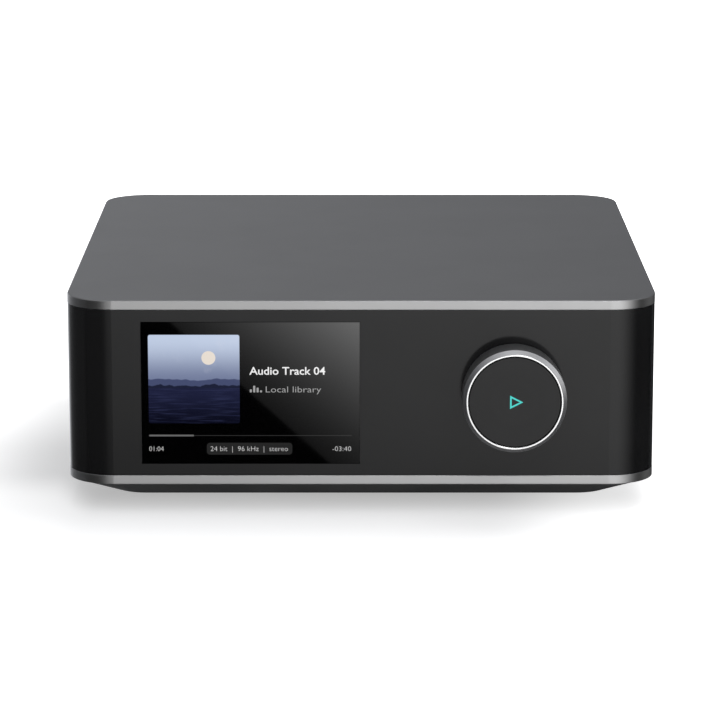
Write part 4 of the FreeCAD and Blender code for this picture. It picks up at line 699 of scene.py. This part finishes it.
# Contacts: name, how many, first place, step between two and size in millimetres, and tilt in degrees
CONTACTS = (
    ("network_contacts", 8, (-27.57, 97.0, 28.9), 1.02, (0.45, 7.0, 0.25), 14),
    ("memory_contacts", 4, (-9.0, 98.8, 21.12), 2.0, (0.95, 7.6, 0.16), 0),
    ("picture_contacts_over", 10, (6.0, 100.2, 21.72), 1.0, (0.42, 6.4, 0.14), 0),
    ("picture_contacts_under", 9, (6.5, 100.2, 20.28), 1.0, (0.42, 6.4, 0.14), 0),
)
for name, count, first, step, size, tilt in CONTACTS:
    values = {
        "Count": count,
        "First Place": metres(*first),
        "Step": metres(step, 0, 0),
        "Bar Size": metres(*size),
        "Tilt": math.radians(tilt),
    }
    grow(name, bar_row, values, contact_gold, "case")

# A fine knurl round each clamp, with the size of a rib in millimetres
POSTS = 4
KNURL_RIBS = 48
KNURL_RIB = (0.24, 0.36, 1.5)
for index in range(POSTS):
    low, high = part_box(f"post_clamp_{index + 1}")
    values = {
        "Count": KNURL_RIBS,
        "Centre": tuple((low + high) / 2),
        "Ring Radius": (high.x - low.x) / 2,
        "Rib Size": metres(*KNURL_RIB),
    }
    grow(f"clamp_knurl_{index + 1}", rib_ring, values, finishes["brass"], f"clamp_{index + 1}")


def ring_mesh(name, centre, inner, outer, thickness, steps=48):
    """A flat ring round an axis that runs front to back, with the middle of its front face at the centre."""
    x, y, z = centre
    shape = bmesh.new()
    loops = []
    for radius, depth in ((inner, 0), (outer, 0), (outer, thickness), (inner, thickness)):
        loop = []
        for step in range(steps):
            angle = 2 * math.pi * step / steps
            place = (x + radius * math.cos(angle), y + depth, z + radius * math.sin(angle))
            loop.append(shape.verts.new(place))
        loops.append(loop)
    for first, second in zip(loops, loops[1:] + loops[:1]):
        for step in range(steps):
            after = (step + 1) % steps
            shape.faces.new((first[step], first[after], second[after], second[step]))
    bmesh.ops.recalc_face_normals(shape, faces=shape.faces)
    return end_mesh(shape, name)


# Coloured rings in the round sockets: place across in millimetres and screen tones
RINGS = ((62.0, (196, 40, 34)), (49.0, (222, 222, 218)), (36.0, (120, 84, 168)))
RING_BORE = 1.75 * MM
RING_RADIUS = 3.1 * MM
RING_THICKNESS = 0.08 * MM
RING_HEIGHT = 25.6 * MM
CORE_RECESS = 0.4 * MM
sleeve_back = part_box("rca_sleeves")[1].y
for index, (x, tones) in enumerate(RINGS):
    name = f"core_ring_{index + 1}"
    plastic = surface(f"ring_plastic_{index + 1}", screen_colour(*tones), 0.32, grain=0.0003, bump=0.000003)
    centre = (x * MM, sleeve_back - CORE_RECESS, RING_HEIGHT)
    mesh = ring_mesh(name, centre, RING_BORE, RING_RADIUS, RING_THICKNESS)
    to_object(name, mesh, plastic, "case")

# Plain marks of the back: text, place across, height of the baseline and size in millimetres
MARKS = (
    ("R", 61.0, 60.3, 2.2), ("R", 41.95, 60.3, 2.2), ("L", 22.9, 60.3, 2.2), ("L", 3.85, 60.3, 2.2),
    ("-", 61.0, 40.0, 2.4), ("+", 41.95, 40.0, 2.4), ("-", 22.9, 40.0, 2.4), ("+", 3.85, 40.0, 2.4),
    ("R", 62.0, 31.9, 1.9), ("L", 49.0, 31.9, 1.9), ("1", 36.0, 31.9, 1.9),
    ("2", 24.5, 29.7, 1.9), ("3", 10.5, 25.7, 1.9), ("4", -6.0, 25.9, 1.9), ("5", -24.0, 33.4, 1.9),
)
MARK_THICKNESS = 0.06 * MM
joined = bmesh.new()
for words, x, base, height in MARKS:
    mesh = text_mesh("back_mark", words, height * MM, 0.0, MARK_THICKNESS)
    mesh.transform(Matrix.Rotation(math.radians(180), 4, "Z"))
    ends = [corner.co.x for corner in mesh.vertices]
    middle = (min(ends) + max(ends)) / 2
    mesh.transform(Matrix.Translation((x * MM - middle, panel_back, base * MM)))
    joined.from_mesh(mesh)
to_object("back_marks", end_mesh(joined, "back_marks"), mark_white, "case")


# The camera that took the picture, worked out from the edges in it: place in metres, pitch in degrees
# and focal length in millimetres
CAMERA_PLACE = Vector((-0.000385, -1.23699, 0.29881))
CAMERA_PITCH = 77.705
CAMERA_LENS = 171.53
SENSOR_WIDTH = 36.0


def add_camera():
    """The camera of the photograph."""
    data = bpy.data.cameras.new("photo_camera")
    data.lens = CAMERA_LENS
    data.sensor_width = SENSOR_WIDTH
    data.clip_start = 0.01
    camera = bpy.data.objects.new("photo_camera", data)
    camera.location = CAMERA_PLACE
    camera.rotation_euler = radians(CAMERA_PITCH, 0, 0)
    scene.collection.objects.link(camera)
    scene.camera = camera


# Light. The reflections come from cards and lamps that the camera itself doesn't see. Each light is drawn
# with ramps over its own place: to the side, to the back and up.
ROOM_TINT = (0.98, 1.0, 1.05, 1)
WALL_STRENGTH = 0.34
WALL_SLOPE = -1.25
LOW_LEFT_STRENGTH = 0.8


def make_world():
    """A white backdrop for the camera and a dim room for the reflections.

    The room has a back wall that is lighter to the left, faint flanks, a ceiling that grows lighter upwards
    and a light strip low at the left of the back.
    """
    world = bpy.data.worlds.new("studio")
    world.use_nodes = True
    scene.world = world
    world.cycles.sampling_method = "NONE"
    tree = Tree(world.node_tree)
    backdrop = world.node_tree.nodes["Background"]
    backdrop.inputs["Color"].default_value = (1, 1, 1, 1)
    room = tree.add("ShaderNodeBackground")
    room.inputs["Color"].default_value = ROOM_TINT
    side, back, up = tree.split(tree.add("ShaderNodeTexCoord").outputs["Generated"])
    near_middle = tree.between(side, -0.3, 0.3)
    # The back wall: its fade to the front, its slope from left to right, its dim foot and its upper edge
    wall = tree.product(
        tree.smooth(back, 0.25, 0.9),
        tree.math("MULTIPLY_ADD", near_middle, WALL_SLOPE, WALL_STRENGTH),
        tree.smooth(up, -0.25, 0.08, first=0.12, last=1.0),
        tree.smooth(up, 0.10, 0.26, first=1.62, last=0.0),
    )
    # The low strip: its left and right ends, its upper and lower edges and its fade to the front
    low_left = tree.product(
        tree.smooth(side, -0.7, -0.35),
        tree.smooth(side, 0.04, -0.1),
        tree.smooth(up, -0.02, -0.12),
        tree.smooth(up, -0.5, -0.35),
        tree.smooth(back, 0.55, 0.75),
    )
    flanks = tree.smooth(tree.math("ABSOLUTE", side), 0.4, 0.65, first=0.0, last=0.065)
    ceiling = tree.smooth(up, 0.0, 0.9, first=0.02, last=0.3)
    room_light = tree.total(wall, flanks, ceiling)
    room_light = tree.math("MULTIPLY_ADD", low_left, LOW_LEFT_STRENGTH, room_light)
    tree.feed(room_light, room.inputs["Strength"])
    seen = tree.add("ShaderNodeLightPath").outputs["Is Camera Ray"]
    both = tree.add("ShaderNodeMixShader")
    tree.feed(seen, both.inputs[0])
    tree.feed(room.outputs[0], both.inputs[1])
    tree.feed(backdrop.outputs[0], both.inputs[2])
    tree.feed(both.outputs[0], world.node_tree.nodes["World Output"].inputs["Surface"])


def add_lamp(name, place, aim, width, height, radiance):
    """A soft box: a rectangle of even light that faces its aim."""
    data = bpy.data.lights.new(name, "AREA")
    data.shape = "RECTANGLE"
    data.size = width
    data.size_y = height
    data.energy = radiance * math.pi * width * height
    lamp = bpy.data.objects.new(name, data)
    lamp.location = place
    lamp.rotation_euler = (Vector(aim) - Vector(place)).to_track_quat("-Z", "Y").to_euler()
    lamp.visible_camera = False
    scene.collection.objects.link(lamp)
    return lamp


def add_card(name, mesh, material):
    """A card that only reflections see."""
    card = bpy.data.objects.new(name, mesh)
    mesh.materials.append(material)
    scene.collection.objects.link(card)
    card.visible_camera = False
    card.visible_diffuse = False
    card.visible_shadow = False
    card.visible_transmission = False
    card.visible_volume_scatter = False
    material.cycles.emission_sampling = "NONE"
    return card


def limit_light(source, pieces, state):
    """Lets a card or lamp light these pieces only, or all but these."""
    receivers = bpy.data.collections.new(source.name + "_receivers")
    for piece in pieces:
        receivers.objects.link(piece)
    source.light_linking.receiver_collection = receivers
    for item in receivers.collection_objects:
        item.light_linking.link_state = state


def card_material(name):
    """Starts the material of a card, and gives its tree and the place on the card as three values."""
    material, tree, shader, place = start_material(name)
    material.node_tree.nodes.remove(shader)
    return material, tree, tree.split(place)


def end_card(material, tree, strength, see_through=False):
    """Makes a card shine with this strength, and if asked without hiding what is behind it."""
    light = tree.fill(tree.add("ShaderNodeEmission"), Strength=strength)[0]
    if see_through:
        both = tree.add("ShaderNodeAddShader")
        tree.feed(light, both.inputs[0])
        tree.feed(tree.add("ShaderNodeBsdfTransparent").outputs[0], both.inputs[1])
        light = both.outputs[0]
    tree.feed(light, material.node_tree.nodes["Material Output"].inputs["Surface"])


def sheet_mesh(name, corners):
    """A flat sheet with four corners."""
    mesh = bpy.data.meshes.new(name)
    mesh.from_pydata(corners, [], [(0, 1, 2, 3)])
    return mesh


def curtain_mesh(name, pairs):
    """A bent wall that spans the pairs of points, one after the other."""
    shape = bmesh.new()
    rows = [[shape.verts.new(point) for point in pair] for pair in pairs]
    for (a, b), (c, d) in zip(rows, rows[1:]):
        shape.faces.new((a, c, d, b))
    return end_mesh(shape, name)


def add_front_card():
    """A curved wall of light round the front, which the bands and the black front reflect.

    It fades towards both ends, downwards and high up, and grows lighter to the right, the more so the
    lower it is.
    """
    radius = 2.2
    low, high = -1.5, 1.0
    first, last, steps = -75, 115, 48
    pairs = []
    for step in range(steps + 1):
        angle = math.radians(first + (last - first) * step / steps)
        x = radius * math.sin(angle)
        y = -radius * math.cos(angle)
        pairs.append(((x, y, low), (x, y, high)))
    material, tree, (side, back, up) = card_material("front_card_light")
    angle = tree.math("ARCTAN2", side, tree.product(back, -1.0))
    ends = tree.product(tree.smooth(angle, *radians(-31, 8)), tree.smooth(angle, *radians(75, 21)))
    ends = tree.math("MAXIMUM", ends, tree.smooth(up, 0.1, 0.45, first=0.0, last=0.5))
    upper_band, slope_end = -0.356, -0.25
    slope_there, slope_growth = 0.33, 3.5
    below = tree.math("SUBTRACT", upper_band, tree.math("MINIMUM", up, slope_end))
    slope = tree.math("MULTIPLY_ADD", below, slope_growth, slope_there)
    to_the_right = tree.math("MULTIPLY_ADD", tree.between(side, -0.4, 0.4), slope, 1.0)
    level = tree.product(
        tree.smooth(up, -0.72, -0.3, first=0.48, last=1.95),
        tree.smooth(up, 0.0, 0.4, first=1.0, last=0.35),
    )
    end_card(material, tree, tree.product(ends, to_the_right, level))
    card = add_card("front_card", curtain_mesh("front_card", pairs), material)
    limit_light(card, screen_pieces + [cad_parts["base_pan"]], "EXCLUDE")


def add_side_card():
    """A faint card to the right of the case, for the right end of its bands."""
    x = 1.8
    near, far = 0.1, 1.7
    low, high = -1.2, 0.6
    mesh = sheet_mesh("side_card", [(x, near, low), (x, far, low), (x, far, high), (x, near, high)])
    material, tree, (_, back, _) = card_material("side_card_light")
    end_card(material, tree, tree.smooth(back, 0.1, 0.6, first=0.1, last=0.17))
    card = add_card("side_card", mesh, material)
    limit_light(card, [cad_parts["case_shell"]], "INCLUDE")


def add_knob_arch():
    """A ring of light round the knob, which only the knob reflects.

    It is bright at the upper right and over the top, with a dip between them, and faint below.
    """
    radius = 1.5
    near, far = -0.7, 1.3
    steps = 72
    faint, bright = 0.2, 2.4
    pairs = []
    for step in range(steps + 1):
        angle = math.radians(360 / steps * step)
        x = radius * math.cos(angle)
        z = radius * math.sin(angle)
        pairs.append(((x, near, z), (x, far, z)))
    material, tree, (side, _, up) = card_material("knob_arch_light")
    angle = tree.math("ARCTAN2", up, side)
    dip = math.radians(62)
    from_dip = tree.math("ABSOLUTE", tree.math("SUBTRACT", angle, dip))
    share = tree.product(
        tree.smooth(angle, math.radians(156), dip),
        tree.smooth(angle, *radians(-14, 20)),
        tree.smooth(from_dip, *radians(5, 32), first=0.45, last=1.0),
    )
    end_card(material, tree, tree.math("MULTIPLY_ADD", share, bright, faint), see_through=True)
    card = add_card("knob_arch", curtain_mesh("knob_arch", pairs), material)
    limit_light(card, [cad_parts["volume_knob"]], "INCLUDE")


def add_gloss_card():
    """A graded light, cut off on a slant, that only the display's glass reflects.

    The slant is a line from the top to the bottom of the glass. Right of it the light grows, faster and
    faster, up to the upper right corner.
    """
    distance = 0.6
    plane = lens_front - distance
    spread = distance / (lens_front - CAMERA_PLACE.y)
    margin = 2 * MM
    cut_at_top, cut_at_bottom = metres(-64.1, -10.6)
    cut_blur = 0.0003
    start, growth, bend = 0.25, 1.0, 2.63

    def seen_from(x, z):
        """The place on the card that the camera sees in the glass at this place."""
        return (
            x + (x - CAMERA_PLACE.x) * spread,
            z + (z - CAMERA_PLACE.z) * spread,
        )

    left, bottom = seen_from(lens_low.x - margin, lens_low.z - margin)
    right, top = seen_from(lens_high.x + margin, lens_high.z + margin)
    corners = [(left, plane, bottom), (right, plane, bottom), (right, plane, top), (left, plane, top)]
    first = Vector(seen_from(cut_at_top, lens_high.z))
    second = Vector(seen_from(cut_at_bottom, lens_low.z))
    along = (second - first).normalized()
    normal = Vector((-along.y, along.x))
    offset = normal.dot(first)
    corner_away = normal.dot(Vector((right, top))) - offset

    material, tree, (side, _, up) = card_material("gloss_card_light")
    across_cut = tree.total(tree.product(side, normal.x), tree.product(up, normal.y))
    away = tree.math("SUBTRACT", across_cut, offset)
    inside = tree.smooth(away, -cut_blur, cut_blur)
    share = tree.math("MAXIMUM", tree.math("DIVIDE", away, corner_away), 0.0)
    rise = tree.math("MULTIPLY_ADD", tree.math("MULTIPLY_ADD", share, bend, growth), share, start)
    level = tree.ramp("LINEAR", up, bottom, top, 0.6, 1.0)
    end_card(material, tree, tree.product(inside, rise, level), see_through=True)
    card = add_card("gloss_card", sheet_mesh("gloss_card", corners), material)
    limit_light(card, screen_pieces, "INCLUDE")


def add_floor():
    """A pale floor that glows, with painted light and a painted shadow in its glow.

    The painted light makes the glow stronger to the right and to the back. The glow grows with the distance
    from the case, which leaves a painted soft shadow round it, and is strongest far away.
    """
    half = 6.0
    mesh = sheet_mesh("floor", [(-half, -half, 0), (half, -half, 0), (half, half, 0), (-half, half, 0)])
    material, tree, shader, place = start_material("pale_floor_painted_shadow")
    tone = tree.mix(tree.noise(place, 3.0, detail=3.0), (0.80, 0.80, 0.80, 1), (0.83, 0.83, 0.83, 1))
    tree.feed(tone, shader.inputs["Base Color"])
    shader.inputs["Roughness"].default_value = 0.9
    shader.inputs["Specular IOR Level"].default_value = 0.0
    shader.inputs["Emission Color"].default_value = (1, 1, 1, 1)
    side, back, _ = tree.split(place)
    # Painted light: the glow is raised to the right of the case and behind it, so that its painted shadow
    # falls to the left and to the front
    painted_light_level = tree.total(
        tree.smooth(side, 0.04, 0.09, first=0.43, last=0.72),
        tree.smooth(back, -0.03, 0.06, first=0.0, last=0.22),
    )
    # The painted shade begins at half a width and half a depth, which both change from left to right
    half_width = tree.smooth(side, -0.1, 0.0, first=0.108, last=0.086)
    half_depth = tree.smooth(side, -0.108, -0.09, first=0.05, last=0.08)
    beside = tree.math("MAXIMUM", tree.math("SUBTRACT", tree.math("ABSOLUTE", side), half_width), 0.0)
    before = tree.math("MAXIMUM", tree.math("SUBTRACT", tree.math("ABSOLUTE", back), half_depth), 0.0)
    from_case = tree.math("SQRT", tree.total(
        tree.math("POWER", beside, 2.0),
        tree.math("POWER", before, 2.0),
    ))
    # Painted shadow: the glow rises with the distance from the case, which leaves a painted soft shadow round
    # it
    painted_shade_rise = tree.total(
        tree.smooth(from_case, 0.0, 0.042, first=0.0, last=0.24),
        tree.smooth(from_case, 0.03, 0.11, first=0.0, last=0.10),
    )
    far = tree.smooth(tree.vector("LENGTH", place)["Value"], 0.3, 0.6, first=0.0, last=0.66)
    tree.feed(tree.total(painted_light_level, painted_shade_rise, far), shader.inputs["Emission Strength"])
    material.cycles.emission_sampling = "NONE"
    mesh.materials.append(material)
    floor = bpy.data.objects.new("floor", mesh)
    floor.visible_glossy = False
    scene.collection.objects.link(floor)
    return floor


scene.view_settings.view_transform = "Standard"
add_camera()
make_world()
add_front_card()
add_gloss_card()
floor = add_floor()
add_knob_arch()
add_side_card()
lamp_aim = (0, 0, 0.03)
overhead = add_lamp("overhead_box", (0.45, 0.7, 1.5), lamp_aim, width=1.3, height=1.5, radiance=2.4)
limit_light(overhead, [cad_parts["case_shell"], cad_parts["volume_knob"]], "EXCLUDE")
front_fill = add_lamp("front_fill", (0.4, -1.0, 1.5), lamp_aim, width=1.0, height=1.0, radiance=4.1)
# The floor gets no light from the front fill; the shade the case would cast there is painted into the floor's
# glow
limit_light(front_fill, [floor], "EXCLUDE")
